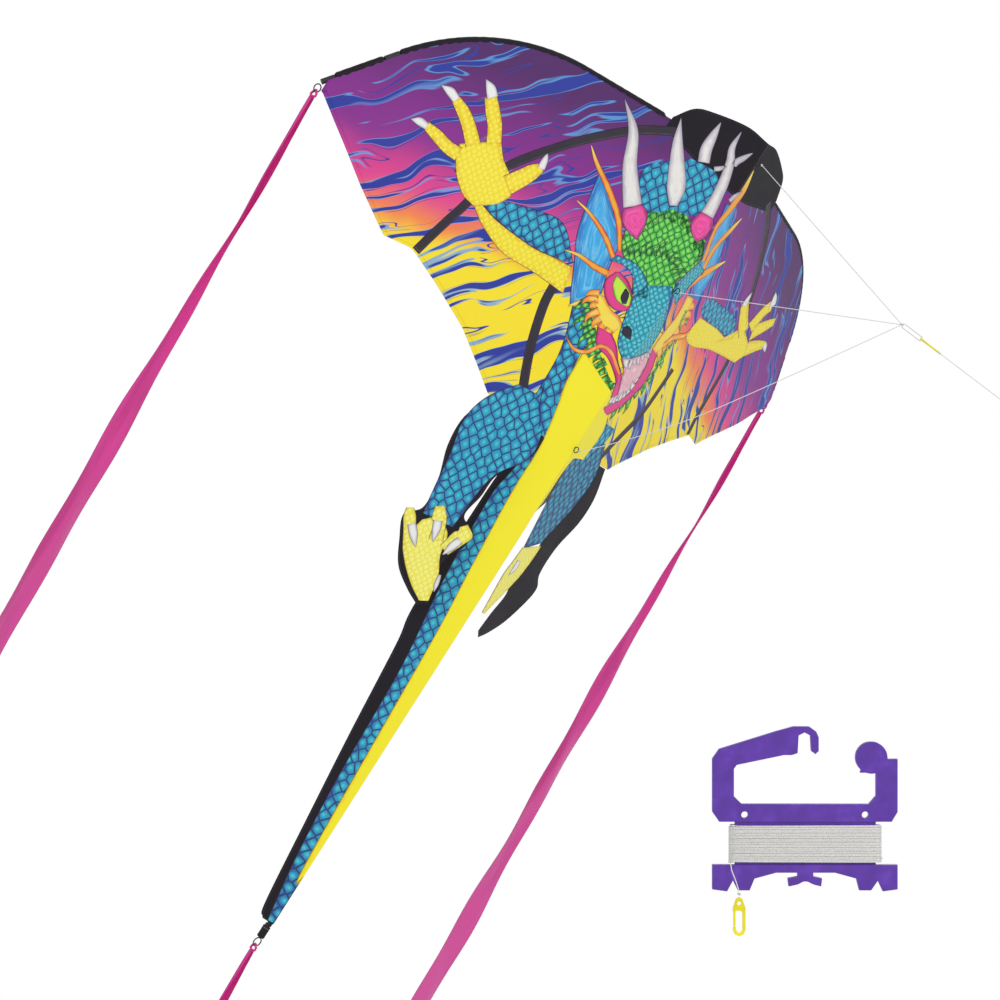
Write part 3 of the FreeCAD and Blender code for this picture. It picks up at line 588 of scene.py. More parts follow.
class Shell:
    """Collects grids of points and makes one mesh of them."""

    def __init__(self):
        self.points, self.faces, self.maps, self.rims, self.runs = [], [], [], [], []
        self.count = 0

    def add(self, points, uv, rim=None, run=None, flip=False, round_=False):
        """Add a grid (rows, columns, 3) with its map; round_ joins the last column to the first."""
        rows, columns = points.shape[:2]
        index = np.arange(rows * columns).reshape(rows, columns) + self.count
        if round_:
            index = np.hstack([index, index[:, :1]])
        a, b, c, d = index[:-1, :-1], index[:-1, 1:], index[1:, 1:], index[1:, :-1]
        quads = np.stack([a, d, c, b] if flip else [a, b, c, d], -1).reshape(-1, 4)
        self.points.append(points.reshape(-1, 3))
        self.faces.append(quads)
        self.maps.append(np.broadcast_to(uv, (rows, columns, 2)).reshape(-1, 2))
        zero = np.zeros((rows, columns))
        self.rims.append((zero if rim is None else np.broadcast_to(rim, zero.shape)).ravel())
        self.runs.append((zero if run is None else np.broadcast_to(run, zero.shape)).ravel())
        self.count += rows * columns

    def rim_strip(self, front, back, uv, rim, run, flip):
        """Join the rims of two facing grids all the way round."""
        def round_(grid):
            return np.concatenate([grid[0, :-1], grid[:-1, -1], grid[-1, :0:-1], grid[:0:-1, 0]])
        rows = np.stack([round_(front), round_(back)])
        maps = np.stack([round_(uv)] * 2)
        self.add(rows, maps, np.stack([round_(rim)] * 2), np.stack([round_(run)] * 2), flip=flip, round_=True)

    def piece(self, name, finish, slot):
        """Make the object, leaving out faces that have no area."""
        points = np.vstack(self.points)
        faces = np.vstack(self.faces)
        a, b, c, d = points[faces].transpose(1, 0, 2)
        halves = np.cross(b - a, c - a), np.cross(c - a, d - a)
        area = sum(np.linalg.norm(half, axis=-1) for half in halves)
        faces = faces[area > 1e-10]
        mesh = bpy.data.meshes.new(name)
        mesh.from_pydata(points.tolist(), [], faces.tolist())
        loops = np.empty(len(mesh.loops), np.int32)
        mesh.loops.foreach_get("vertex_index", loops)
        layer = mesh.uv_layers.new(name=CLOTH)
        layer.data.foreach_set("uv", np.vstack(self.maps)[loops].astype(np.float32).ravel())
        for label, values in ((RIM, self.rims), (RUN, self.runs)):
            held = mesh.attributes.new(label, "FLOAT", "POINT")
            held.data.foreach_set("value", np.concatenate(values).astype(np.float32))
        mesh.polygons.foreach_set("use_smooth", np.full(len(mesh.polygons), True))
        made_object = linked(name, mesh)
        mesh.materials.append(made(finish))
        weld(mesh)
        return made_object


def weld(mesh):
    """Join points that lie together, and take out what has no face."""
    work = bmesh.new()
    work.from_mesh(mesh)
    bmesh.ops.remove_doubles(work, verts=work.verts, dist=2e-6)
    bmesh.ops.delete(work, geom=[v for v in work.verts if not v.link_faces], context="VERTS")
    work.to_mesh(mesh)
    work.free()
    mesh.update()


def panel_grid(left, right, spacing=0.0045):
    """Grid of (v, z) between two edge curves, straight across; with distance in from the rim."""
    left, right = np.asarray(left, float) * MM, np.asarray(right, float) * MM
    span = max(walked(curve(left, 40))[-1], walked(curve(right, 40))[-1])
    rows = int(np.clip(span / spacing, 6, 260))
    a, b = curve(left, rows), curve(right, rows)
    wide = np.linalg.norm(b - a, axis=-1)
    columns = int(np.clip(wide.max() / spacing, 4, 120)) + 1
    t = np.linspace(0, 1, columns)[None, :, None]
    grid = a[:, None] * (1 - t) + b[:, None] * t
    across = np.minimum(t[..., 0], 1 - t[..., 0]) * wide[:, None]
    along = walked((a + b) / 2)
    ends = np.minimum(along, along[-1] - along)[:, None]
    return grid, np.minimum(across, ends + 0.0035), along[:, None] + 0 * across


def band_edges(line, widths):
    """Two edge curves of a band whose width changes along a line."""
    p = np.asarray(line, float)
    way = np.gradient(p, axis=0)
    side = np.stack([-way[:, 1], way[:, 0]], -1) / np.linalg.norm(way, axis=-1)[:, None]
    half = np.asarray(widths, float)[:, None] / 2
    return p + side * half, p - side * half


def layered(shell, grid, rim, run, tier, body, side=None):
    """Lay a printed grid on the front of the sail and its show-through on the back."""
    sizes = cloth_sizes()
    v, z = grid[..., 0], grid[..., 1]
    if side is not None:
        v = np.minimum(v, 0) if side < 0 else np.maximum(v, 0)
    if np.ptp(v) < 1e-6:
        return False
    uv = np.stack([v, z], -1)
    front = sail_point(v, z, sizes.front + tier * sizes.layer, body)
    back = sail_point(v, z, sizes.front - sizes.thickness - tier * sizes.layer, body)
    row, column = np.gradient(front, axis=0), np.gradient(front, axis=1)
    facing = np.cross(row, column).sum((0, 1))[1]
    flip = bool(facing < 0)
    shell.add(front, uv, rim, run, flip=flip)
    shell.add(back, uv, rim, run, flip=not flip)
    shell.rim_strip(front, back, uv, rim, run, flip)
    return True


def ride_wing(piece, side):
    """Bake the piece's place into its mesh."""
    "wing_" + side
    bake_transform(piece)


def ride_body(piece, side, end=-0.62):
    """Bake the piece's place into its mesh."""
    "wing_" + side
    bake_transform(piece)


# ------------------------------------------------------------------ sail and body cloth

TRAILING = [(620, -272), (500, -352), (430, -394), (385, -388), (374, -391), (318, -414), (252, -445),
            (199, -480), (162, -506), (0, -506)]


def trailing_height(out):
    """Height of the trailing edge at a distance out from the ridge."""
    edge = np.array(TRAILING[::-1], float) * MM
    return np.interp(out, edge[:, 0], edge[:, 1])


def sail(side):
    """Wing cloth: columns from the leading edge line down to the scalloped trailing edge."""
    sign = SIDES[side]
    out = np.concatenate([np.linspace(0, 0.03, 11)[:-1], np.linspace(0.03, SAIL_REACH, 132)])
    top = np.where(out < 0.014, 0.026, lead_height(out))
    top = np.maximum(top, np.interp(out, (0.0, 0.06, 0.12, 0.15), (0.026, 0.026, 0.01, -0.022), right=-1.0))
    low = trailing_height(out)
    t = np.linspace(0, 1, 112)[:, None]
    z = top * (1 - t) + low * t
    v = sign * out + 0 * z
    uv = np.stack([v, z], -1)
    shell = Shell()
    sizes = cloth_sizes()
    rim = np.minimum(z - low, SAIL_REACH - out)
    faces = [sail_point(v, z, off) for off in (sizes.front, sizes.front - sizes.thickness)]
    run = out + 0 * z
    shell.add(faces[0], uv, rim, run, flip=sign > 0)
    shell.add(faces[1], uv, rim, run, flip=sign < 0)
    shell.rim_strip(*faces, uv, rim, run, flip=sign > 0)
    piece = shell.piece("sail_" + side, "wing_cloth", "wing_cloth")
    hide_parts("wing_panel_" + side)
    ride_wing(piece, side)


def hem(side):
    """Folded hem along the trailing edge, in the sail's own print."""
    sign = SIDES[side]
    line = np.array(TRAILING[:-1], float)
    line[:, 0] *= sign
    shell = Shell()
    inner = line + np.array((-sign * 3.5, 5.5))
    inner[-1] = line[-1] + np.array((-sign * 7.0, 2.0))
    points_a = np.vstack([np.linspace(a, b, 24)[:-1] for a, b in zip(line[:-1], line[1:])]) * MM
    points_b = np.vstack([np.linspace(a, b, 24)[:-1] for a, b in zip(inner[:-1], inner[1:])]) * MM
    t = np.linspace(0, 1, 4)[None, :, None]
    grid = points_a[:, None] * (1 - t) + points_b[:, None] * t
    across = np.minimum(t[..., 0], 1 - t[..., 0]) * 0.0065
    layered(shell, grid, across + 0 * grid[..., 0], walked(points_a)[:, None] + 0 * grid[..., 0], 1, False)
    piece = shell.piece("hem_" + side, "wing_cloth", "wing_cloth")
    ride_wing(piece, side)


TAIL_EDGE = [(60, -507), (70, -530), (73, -640), (73, -829), (64, -897), (51, -1047), (37, -1187),
             (22, -1330), (14, -1354)]
LEG_OUTER = [(152, -507), (175, -552), (174, -600), (157, -650), (153, -698), (174, -722), (158, -758),
             (136, -792), (104, -815), (78, -828)]
LEG_INNER = [(48, -507), (50, -552), (80, -600), (84, -640), (90, -678), (64, -692), (64, -720),
             (80, -750), (70, -785), (64, -818)]


def body_cloth(side):
    """Tail side and the hind leg flap, both of black cloth."""
    sign = SIDES[side]
    flip = np.array((sign, 1.0))
    edge = np.array(TAIL_EDGE, float) * flip
    ridge = edge * np.array((0.0, 1.0))
    shell = Shell()
    grid, rim, run = panel_grid(ridge, edge, 0.006)
    rim = np.abs(np.abs(grid[..., 0]) - np.abs(grid[:, -1:, 0]))
    layered(shell, grid, rim, run, 0, True)
    tail = shell.piece("tail_cloth_" + side, "black_cloth", "tail_cloth")
    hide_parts("tail_panel_" + side)
    ride_body(tail, side)
    shell = Shell()
    grid, rim, run = panel_grid(np.array(LEG_INNER) * flip, np.array(LEG_OUTER) * flip, 0.006)
    layered(shell, grid, rim, run, 0, False)
    leg = shell.piece("leg_cloth_" + side, "black_cloth", "leg_cloth")
    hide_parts("leg_panel_" + side)
    ride_body(leg, side, -0.72)


# ------------------------------------------------------------------ print

WING, BODY, LEG = "wing", "body", "leg"


def both(points):
    """The same edge on the other side of the ridge."""
    return [(-v, z) for v, z in points]


BELLY = [(70, -376), (68, -428), (58, -470), (46, -540), (42, -595), (31, -740), (20, -887), (7, -1250),
         (0, -1268)]
FLANK = [(96, -448), (84, -478), (66, -506), (57, -545), (60, -590), (64, -640), (56, -777), (39, -925),
         (32, -1088), (25, -1189), (9, -1352)]
PANELS = [
    ("crown", "scale", 1, WING, [(-140, -90), (-145, -115), (-115, -150), (-90, -150)],
     [(-90, -50), (-40, -48), (-18, -84), (-30, -114)]),
    ("horn_base_left", "horn_base", 4, WING, [(-138, -170), (-134, -182), (-119, -192), (-95, -196)],
     [(-118, -147), (-104, -152), (-95, -168), (-93, -195)]),
    ("horn_base_right", "horn_base", 4, WING, [(-31, -107), (-37, -126), (-28, -140), (-12, -149)],
     [(-9, -105), (-4, -114), (-3, -130), (-11, -149)]),
    ("crest", "crest", 2, WING, [(-100, -150), (-118, -190), (-100, -226), (-45, -244), (-28, -262)],
     [(-55, -126), (-5, -140), (20, -170), (-4, -210), (6, -243)]),
    ("fin_left", "fin", 1, WING, [(-203, -139), (-192, -190), (-180, -238), (-158, -278), (-128, -332)],
     [(-198, -138), (-150, -180), (-118, -206), (-106, -255), (-95, -291)]),
    ("fin_right", "fin", 1, WING, [(-6, -76), (5, -130), (20, -172), (69, -218)],
     [(27, -69), (60, -116), (92, -162), (98, -211)]),
    ("brow_left", "snout", 4, WING, [(-114, -243), (-91, -238), (-70, -243), (-54, -266)],
     [(-108, -230), (-75, -225), (-45, -237), (-28, -260)]),
    ("brow_right", "snout", 4, WING, [(-3, -231), (-1, -202), (18, -170)],
     [(28, -242), (39, -206), (54, -172)]),
    ("muzzle", "snout", 4, WING, [(-41, -243), (-50, -271), (-43, -305), (-32, -337), (-13, -354)],
     [(-6, -223), (10, -248), (33, -275), (38, -301), (40, -324)]),
    ("eye_ring", "magenta", 5, WING, [(-95, -252), (-102, -272), (-88, -292), (-68, -300), (-51, -295)],
     [(-90, -249), (-70, -253), (-51, -268), (-45, -282), (-48, -293)]),
    ("eye_iris", "lime", 6, WING, [(-91, -256), (-88, -271), (-71, -286), (-52, -287)],
     [(-89, -255), (-69, -260), (-53, -269), (-47, -281)]),
    ("eye_pupil", "dark", 7, WING, [(-68, -265), (-67, -279), (-59, -286)],
     [(-66, -264), (-57, -269), (-53, -283)]),
    ("cheek_left", "flame", 3, WING, [(-105, -295), (-96, -314), (-73, -334), (-46, -335)],
     [(-89, -291), (-69, -302), (-52, -304), (-41, -312)]),
    ("cheek_right", "flame", 3, WING, [(49, -218), (56, -251), (48, -284), (44, -315)],
     [(80, -216), (94, -250), (85, -288), (76, -319)]),
    ("mouth", "mouth", 4, WING, [(-14, -355), (0, -370), (18, -399), (13, -424)],
     [(45, -315), (62, -347), (59, -384), (24, -421)]),
    ("jaw_left", "magenta", 5, WING, [(-73, -334), (-59, -358), (-30, -366), (-4, -386), (10, -413)],
     [(-46, -332), (-28, -344), (-12, -363), (9, -382), (32, -407)]),
    ("jaw_right", "magenta", 5, WING, [(44, -315), (61, -345), (61, -382), (30, -419)],
     [(76, -319), (93, -352), (84, -386), (55, -420)]),
    ("jaw_low", "magenta", 6, WING, [(66, -385), (42, -409), (10, -429), (22, -436)],
     [(87, -383), (70, -406), (51, -425), (35, -437)]),
    ("nostril", "dark", 6, WING, [(-37, -314), (-34, -323), (-22, -325)],
     [(-32, -308), (-22, -311), (-16, -324)]),
    ("arm_right", "scale", 1, WING, [(121, -214), (142, -228), (203, -228), (299, -226)],
     [(140, -196), (210, -194), (277, -194), (310, -218)]),
    ("hand_right", "palm", 2, WING, [(138, -232), (134, -266), (171, -274), (251, -260), (374, -250)],
     [(150, -231), (229, -227), (303, -227), (330, -198), (414, -218)]),
    ("palm_left", "palm", 2, WING, [(-407, -225), (-400, -246), (-384, -267), (-362, -283), (-338, -288)],
     [(-355, -187), (-337, -207), (-316, -221), (-298, -242), (-308, -265)]),
    ("forearm_left", "palm", 2, WING, [(-338, -288), (-310, -305), (-262, -321), (-208, -320), (-147, -322)],
     [(-329, -279), (-293, -287), (-229, -290), (-190, -285), (-159, -282)]),
    ("forearm_scales", "scale", 1, WING, [(-329, -279), (-293, -287), (-229, -290), (-173, -282)],
     [(-299, -255), (-258, -243), (-207, -236), (-161, -275)]),
    ("flank", "scale", 1, WING, [(-124, -330), (-110, -369), (-101, -407), (-98, -470)],
     [(-98, -312), (-73, -355), (-71, -389), (-63, -462)]),
    ("thigh_left", "scale", 2, LEG, [(-130, -470), (-162, -512), (-174, -560), (-162, -616), (-149, -706)],
     [(-84, -466), (-56, -512), (-52, -556), (-86, -610), (-96, -701)]),
    ("foot_left", "foot", 3, LEG, [(-145, -716), (-152, -754), (-134, -780), (-104, -806), (-79, -821)],
     [(-128, -700), (-98, -712), (-88, -747), (-73, -775), (-65, -814)]),
    ("thigh_right", "scale_dark", 2, LEG, [(29, -470), (12, -540), (18, -590), (39, -676)],
     [(96, -475), (127, -521), (123, -580), (89, -655)]),
    ("foot_right", "foot", 3, LEG, [(35, -674), (31, -700), (27, -726), (37, -790)],
     [(96, -659), (94, -687), (83, -727), (47, -791)]),
]
BANDS = [
    ("horn_left", "horn", 3, WING, [(-230, -35), (-192, -66), (-166, -112), (-128, -158)], (1, 16, 24, 31)),
    ("horn_centre", "horn", 5, WING, [(-139, -10), (-124, -40), (-106, -68), (-86, -98), (-74, -123)],
     (1, 16, 25, 31, 14)),
    ("horn_right", "horn", 3, WING, [(-45, 24), (-44, -2), (-34, -22), (-26, -50), (-22, -78), (-20, -106)],
     (2, 11, 15, 18, 19, 22)),
    ("horn_small_a", "horn", 3, WING, [(-81, 18), (-80, -4), (-78, -26), (-70, -45)], (2, 14, 20, 20)),
    ("horn_small_b", "horn", 3, WING, [(-12, 8), (-19, -5), (-25, -15), (-26, -23)], (2, 9, 11, 9)),
    ("horn_small_c", "horn", 3, WING, [(12, -46), (1, -59), (-3, -70)], (2, 9, 7)),
    ("horn_small_d", "horn", 3, WING, [(-36, -30), (-42, -38), (-50, -44)], (2, 8, 8)),
    ("spine_la", "spine", 2, WING, [(-235, -119), (-212, -136), (-170, -160), (-136, -186), (-108, -223)],
     (2, 7, 10, 10, 8)),
    ("spine_lb", "spine", 2, WING, [(-207, -197), (-179, -202), (-143, -216), (-111, -236)], (2, 6, 9, 9)),
    ("spine_lc", "spine", 2, WING, [(-182, -267), (-159, -262), (-128, -263), (-104, -260)], (2, 6, 10, 11)),
    ("spine_ld", "spine", 2, WING, [(-130, -333), (-115, -316), (-99, -298)], (2, 8, 10)),
    ("spine_ra", "spine", 2, WING, [(7, -11), (15, -46), (10, -80), (5, -118), (30, -164)],
     (3, 18, 18, 12, 13)),
    ("spine_rb", "spine", 2, WING, [(68, -75), (56, -100), (40, -140), (50, -183)], (3, 13, 16, 14)),
    ("spine_rc", "spine", 2, WING, [(107, -140), (77, -163), (52, -184), (33, -206)], (3, 14, 18, 20)),
    ("whisker_left", "flame", 6, WING,
     [(-108, -372), (-86, -381), (-66, -375), (-51, -356), (-30, -356), (-3, -376)], (1, 6, 7, 7, 7, 5)),
    ("whisker_right", "flame", 6, WING, [(133, -254), (128, -268), (93, -283), (76, -302)], (2, 10, 12, 14)),
    ("finger_ra", "palm", 3, WING, [(275, -167), (308, -187), (342, -203)], (22, 26, 28)),
    ("finger_rb", "palm", 3, WING, [(380, -138), (364, -158), (357, -190)], (26, 30, 36)),
    ("finger_rc", "palm", 3, WING, [(432, -155), (406, -172), (374, -194)], (16, 26, 32)),
    ("finger_rd", "palm", 3, WING, [(452, -195), (422, -206), (390, -220)], (16, 24, 30)),
    ("claw_ra", "claw", 4, WING, [(272, -146), (273, -158), (277, -170)], (2, 16, 20)),
    ("claw_rb", "claw", 4, WING, [(362, -119), (374, -129), (383, -140)], (2, 18, 22)),
    ("claw_rd", "claw", 4, WING, [(473, -203), (462, -197), (450, -194)], (2, 12, 13)),
    ("finger_la", "palm", 3, WING, [(-465, -229), (-442, -233), (-420, -238), (-400, -238)], (13, 19, 20, 22)),
    ("finger_lb", "palm", 3, WING, [(-447, -175), (-427, -184), (-408, -197), (-388, -215)], (15, 20, 22, 24)),
    ("finger_lc", "palm", 3, WING, [(-405, -144), (-390, -160), (-376, -175), (-363, -196)], (20, 23, 23, 24)),
    ("thumb_left", "palm", 3, WING, [(-281, -186), (-289, -199), (-300, -218), (-312, -236)], (14, 24, 28, 30)),
    ("claw_la", "claw", 4, WING, [(-488, -234), (-476, -230), (-462, -230)], (2, 13, 11)),
    ("claw_lb", "claw", 4, WING, [(-477, -170), (-461, -170), (-446, -175)], (2, 14, 13)),
    ("claw_lc", "claw", 4, WING, [(-425, -127), (-413, -133), (-402, -143)], (2, 15, 18)),
    ("claw_ld", "claw", 4, WING, [(-285, -165), (-283, -175), (-281, -188)], (3, 11, 13)),
    ("toe_la", "foot", 4, LEG, [(-170, -709), (-164, -720), (-155, -734), (-142, -755)], (12, 20, 20, 20)),
    ("toe_lb", "foot", 4, LEG, [(-131, -684), (-123, -699), (-116, -708), (-108, -731)], (16, 24, 20, 24)),
    ("toe_lc", "foot", 4, LEG, [(-82, -691), (-73, -700), (-79, -712), (-88, -737)], (14, 26, 26, 20)),
    ("foot_claw_a", "claw", 5, LEG, [(-130, -755), (-142, -742), (-155, -728)], (2, 13, 14)),
    ("foot_claw_b", "claw", 5, LEG, [(-111, -735), (-116, -719), (-122, -704)], (2, 13, 15)),
    ("foot_claw_c", "claw", 5, LEG, [(-86, -744), (-81, -728), (-75, -712)], (2, 13, 13)),
    ("foot_claw_d", "claw", 5, LEG, [(-66, -798), (-69, -786), (-72, -772)], (2, 8, 5)),
    ("foot_claw_r", "claw", 5, LEG, [(46, -721), (52, -709), (52, -694)], (2, 15, 14)),
]
TUFTS = [
    ("crest_spikes", "crest", 2, [(-112, -186), (-98, -160), (-60, -128), (-10, -140), (16, -164)], 15, 15, -1),
    ("crown_spikes", "crest", 3, [(-100, -224), (-70, -205), (-40, -190), (-10, -205)], 17, 12, 1),
    ("fringe_left", "crest", 3, [(-104, -302), (-92, -330), (-70, -350), (-42, -372), (-8, -398), (10, -424)],
     26, 18, -1),
    ("fringe_right", "crest", 3, [(78, -240), (92, -268), (94, -310), (98, -350), (80, -395), (44, -430)],
     20, 14, 1),
    ("cheek_spikes", "flame", 4, [(-104, -290), (-96, -308), (-76, -326), (-48, -334)], 20, 7, -1),
    ("cheek_spikes_right", "flame", 4, [(82, -222), (92, -252), (86, -290), (74, -316)], 18, 7, 1),
    ("teeth_upper", "claw", 6, [(-10, -356), (14, -346), (34, -328), (44, -318)], 13, 8, -1),
    ("teeth_lower", "claw", 6, [(14, -418), (36, -410), (56, -392), (62, -362)], 11, 8, 1),
]


def tuft_grids(line, reach, count, sense):
    """Leaves that stand out from a curve: each is a short tapered band leaning along it."""
    base = curve(line, count * 2 + 1)[1::2]
    way = np.gradient(base, axis=0)
    way = way / np.linalg.norm(way, axis=-1)[:, None]
    side = np.stack([-way[:, 1], way[:, 0]], -1) * sense
    step = walked(base)[-1] / max(count - 1, 1)
    grids = []
    for index in range(count):
        size = reach * (0.8 + 0.35 * math.sin(index * 2.4))
        tip = base[index] + side[index] * size + way[index] * size * 0.55
        bend = base[index] + side[index] * size * 0.62 + way[index] * size * 0.12
        root = base[index] - side[index] * size * 0.25
        grids.append(panel_grid(*band_edges([tip, bend, root], (0.8, step * 0.75, step * 1.3)), 0.003))
    return grids


def print_pieces():
    """Every printed figure, gathered by finish, side and the part of the kite that it lies on."""
    groups = {}

    def lay(finish, tier, place, grids):
        for side, sign in SIDES.items():
            key = (finish, place, side)
            shell = groups.get(key) or Shell()
            for grid, rim, run in grids:
                if layered(shell, grid, rim, run, tier, place == BODY, sign):
                    groups[key] = shell

    for _, finish, tier, place, left, right in PANELS:
        lay(finish, tier, place, [panel_grid(left, right)])
    for _, finish, tier, place, line, widths in BANDS:
        lay(finish, tier, place, [panel_grid(*band_edges(line, widths), 0.0035)])
    for _, finish, tier, line, reach, count, sense in TUFTS:
        lay(finish, tier, WING, tuft_grids(line, reach, count, sense))
    for sense in (-1, 1):
        edge = [(sense * v, z) for v, z in FLANK]
        lay("scale", 3, BODY, [panel_grid(edge, [(0, z) for _, z in edge], 0.006)])
    lay("belly", 4, BODY, [panel_grid(both(BELLY), [(20, -412), (44, -440)] + BELLY[2:], 0.006)])
    for (finish, place, side), shell in groups.items():
        piece = shell.piece("print_%s_%s_%s" % (finish, place, side), "print_" + finish,
                            {"wing": "wing_cloth", "body": "tail_cloth", "leg": "leg_cloth"}[place])
        if place == WING:
            ride_wing(piece, side)
        else:
            ride_body(piece, side, -0.72 if place == LEG else -0.62)


OUTER_RIB = [(128, -28), (186, -62), (244, -113), (290, -164), (322, -206), (341, -240), (350, -289),
             (361, -330), (376, -388)]
INNER_RIB = [(166, -320), (163, -352), (149, -405), (130, -450), (108, -494)]


def rib_tapes(side):
    """Hood and the two rib tapes of black cloth sewn on the front of a wing."""
    flip = np.array((SIDES[side], 1.0))
    for label, line, width in (("outer", OUTER_RIB, 14), ("inner", INNER_RIB, 15)):
        shell = Shell()
        widths = [width] * len(line)
        grid, rim, run = panel_grid(*band_edges(np.array(line) * flip, widths), 0.0035)
        layered(shell, grid, rim, run, 1, False)
        piece = shell.piece("rib_%s_%s" % (label, side), "print_rib", "black_cloth")
        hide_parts("rib_tape_%s_%s" % (label, side))
        ride_wing(piece, side)
    top = [(0, 33), (40, 36), (98, 24), (128, 12), (150, -16)]
    low = [(0, -60), (50, -56), (98, -47), (130, -41), (152, -34)]
    shell = Shell()
    grid, rim, run = panel_grid(np.array(top) * flip, np.array(low) * flip, 0.0045)
    layered(shell, grid, rim, run, 0.5, False)
    piece = shell.piece("hood_" + side, "black_cloth", "black_cloth")
    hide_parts("nose_patch_" + side)
    ride_wing(piece, side)


# ------------------------------------------------------------------ sleeves, pockets, loops

def unit(vectors):
    """Vectors brought to length one."""
    return vectors / np.linalg.norm(vectors, axis=-1)[..., None]


def tube(path, radius, sides=12, up=(0, 0, 1.0), closed=False):
    """Round section carried along a path: at each point a circle square to the path."""
    path = np.asarray(path, float)
    if closed:
        way = unit(np.roll(path, -1, 0) - np.roll(path, 1, 0))
    else:
        way = unit(np.gradient(path, axis=0))
    first = unit(np.cross(way, np.broadcast_to(np.asarray(up, float), way.shape)))
    second = np.cross(first, way)
    angle = np.linspace(0, 2 * np.pi, sides, endpoint=False)
    radius = np.broadcast_to(np.asarray(radius, float), (len(path),))[:, None, None]
    ring = first[:, None] * np.cos(angle)[:, None] + second[:, None] * np.sin(angle)[:, None]
    points = path[:, None] + ring * radius
    along = walked(path)
    uv = np.stack(np.broadcast_arrays(along[:, None], (angle / (2 * np.pi))[None]), -1)
    return points, uv, along


def add_tube(shell, path, radius, sides=12, up=(0, 0, 1.0), closed=False):
    """Add a tube; a closed one is joined end to end."""
    points, uv, along = tube(path, radius, sides, up, closed)
    if closed:
        points = np.concatenate([points, points[:1]])
        uv = np.concatenate([uv, uv[-1:] + (uv[-1:] - uv[-2:-1])])
        along = np.append(along, along[-1] + along[1])
    rim = np.full((len(points), sides), 0.5)
    shell.add(points, uv, rim, along[:, None] + 0 * rim, flip=True, round_=True)


def edge_sleeve(side):
    """Fabric sleeve on the leading edge rod: a tube with soft puckers, drawn in at its ends."""
    sign = SIDES[side]
    shell = Shell()
    total = EDGE_S[-1]
    joint = EDGE_STRAIGHT + 0.012
    sizes = cloth_sizes()
    for start, end in ((0.146, joint - 0.0114), (joint + 0.0114, total - 0.022)):
        s = np.linspace(start, end, int((end - start) / 0.0025))
        s = np.concatenate([[start, start], s, [end, end]])
        u, z = np.interp(s, EDGE_S, EDGE_U), np.interp(s, EDGE_S, EDGE_Z)
        path = np.stack([sign * u * math.cos(SWEEP), u * math.sin(SWEEP), z], -1)
        near = np.minimum(s - start, end - s)
        drawn = 0.0034 + (sizes.edge_sleeve - 0.0034) * smooth(near / 0.004)
        pucker = 1 + 0.03 * np.sin(s * 420) * np.sin(s * 57 + 1) - 0.015
        radius = drawn * np.minimum(pucker, 1.0)
        radius[[0, -1]] = 0.0001
        path = path + np.arange(len(path))[:, None] * 1e-7
        add_tube(shell, path, radius, 20, up=(sign * math.sin(SWEEP), -math.cos(SWEEP), 0))
    piece = shell.piece("edge_cloth_" + side, "black_cloth", "black_cloth")
    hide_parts("edge_sleeve_" + side)
    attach(piece, "wing_" + side)


def ridge_sleeve():
    """Fabric strip round the front of the spine: an arc of 48 degrees each way, with soft puckers."""
    low, high = (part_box("spine_sleeve")[i][2] for i in (0, 1))
    z = np.linspace(low, high, 320)[:, None]
    angle = np.radians(np.linspace(-48, 48, 17))[None]
    shell = Shell()
    for radius, flip in ((0.0056, False), (0.0052, True)):
        swell = radius - 0.0002 * (1 + np.sin(z * 300)) / 2 * np.cos(angle)
        points = np.stack([swell * np.sin(angle), -swell * np.cos(angle), z + 0 * angle], -1)
        uv = np.stack(np.broadcast_arrays(angle * 0.0056, z), -1)
        rim = (math.radians(48) - np.abs(angle)) * 0.0056 + 0 * z
        shell.add(points, uv, rim, z + 0 * angle, flip=flip)
    piece = shell.piece("ridge_cloth", "black_cloth", "ridge_cloth")
    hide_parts("spine_sleeve")
    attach(piece, "airframe")


def turned(profile, base, steps=28):
    """Profile of (radius, height) turned round a vertical line through base."""
    p = np.asarray(profile, float)
    angle = np.linspace(0, 2 * np.pi, steps, endpoint=False)
    x = base[0] + p[:, :1] * np.cos(angle)
    y = base[1] + p[:, :1] * np.sin(angle)
    return np.stack([x, y, base[2] + p[:, 1:] + 0 * x], -1), angle, walked(p)


def tail_pocket():
    """Webbing pocket on the tail end: a cup with a rolled lip and a folded foot."""
    low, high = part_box("tail_pocket")
    tall = high[2] - low[2]
    outer = high[0]
    inner = outer - 0.0012
    profile = [(0, 0), (outer * 0.6, 0), (outer * 0.9, 0.0006), (outer, 0.0025), (outer * 0.97, tall * 0.5),
               (outer, tall - 0.003), (outer, tall - 0.0006), (outer - 0.0006, tall), (inner, tall - 0.0006),
               (inner, 0.0014), (0.0001, 0.0012)]
    points, angle, along = turned(profile, (0, 0, low[2]))
    uv = np.stack(np.broadcast_arrays(angle[None] * outer, along[:, None]), -1)
    shell = Shell()
    rim = (tall - (points[..., 2] - low[2]))
    shell.add(points, uv, rim, angle[None] * outer + 0 * rim, round_=True)
    piece = shell.piece("tail_pocket_cloth", "webbing", "black_webbing")
    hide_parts("tail_pocket")
    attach(piece, "airframe")


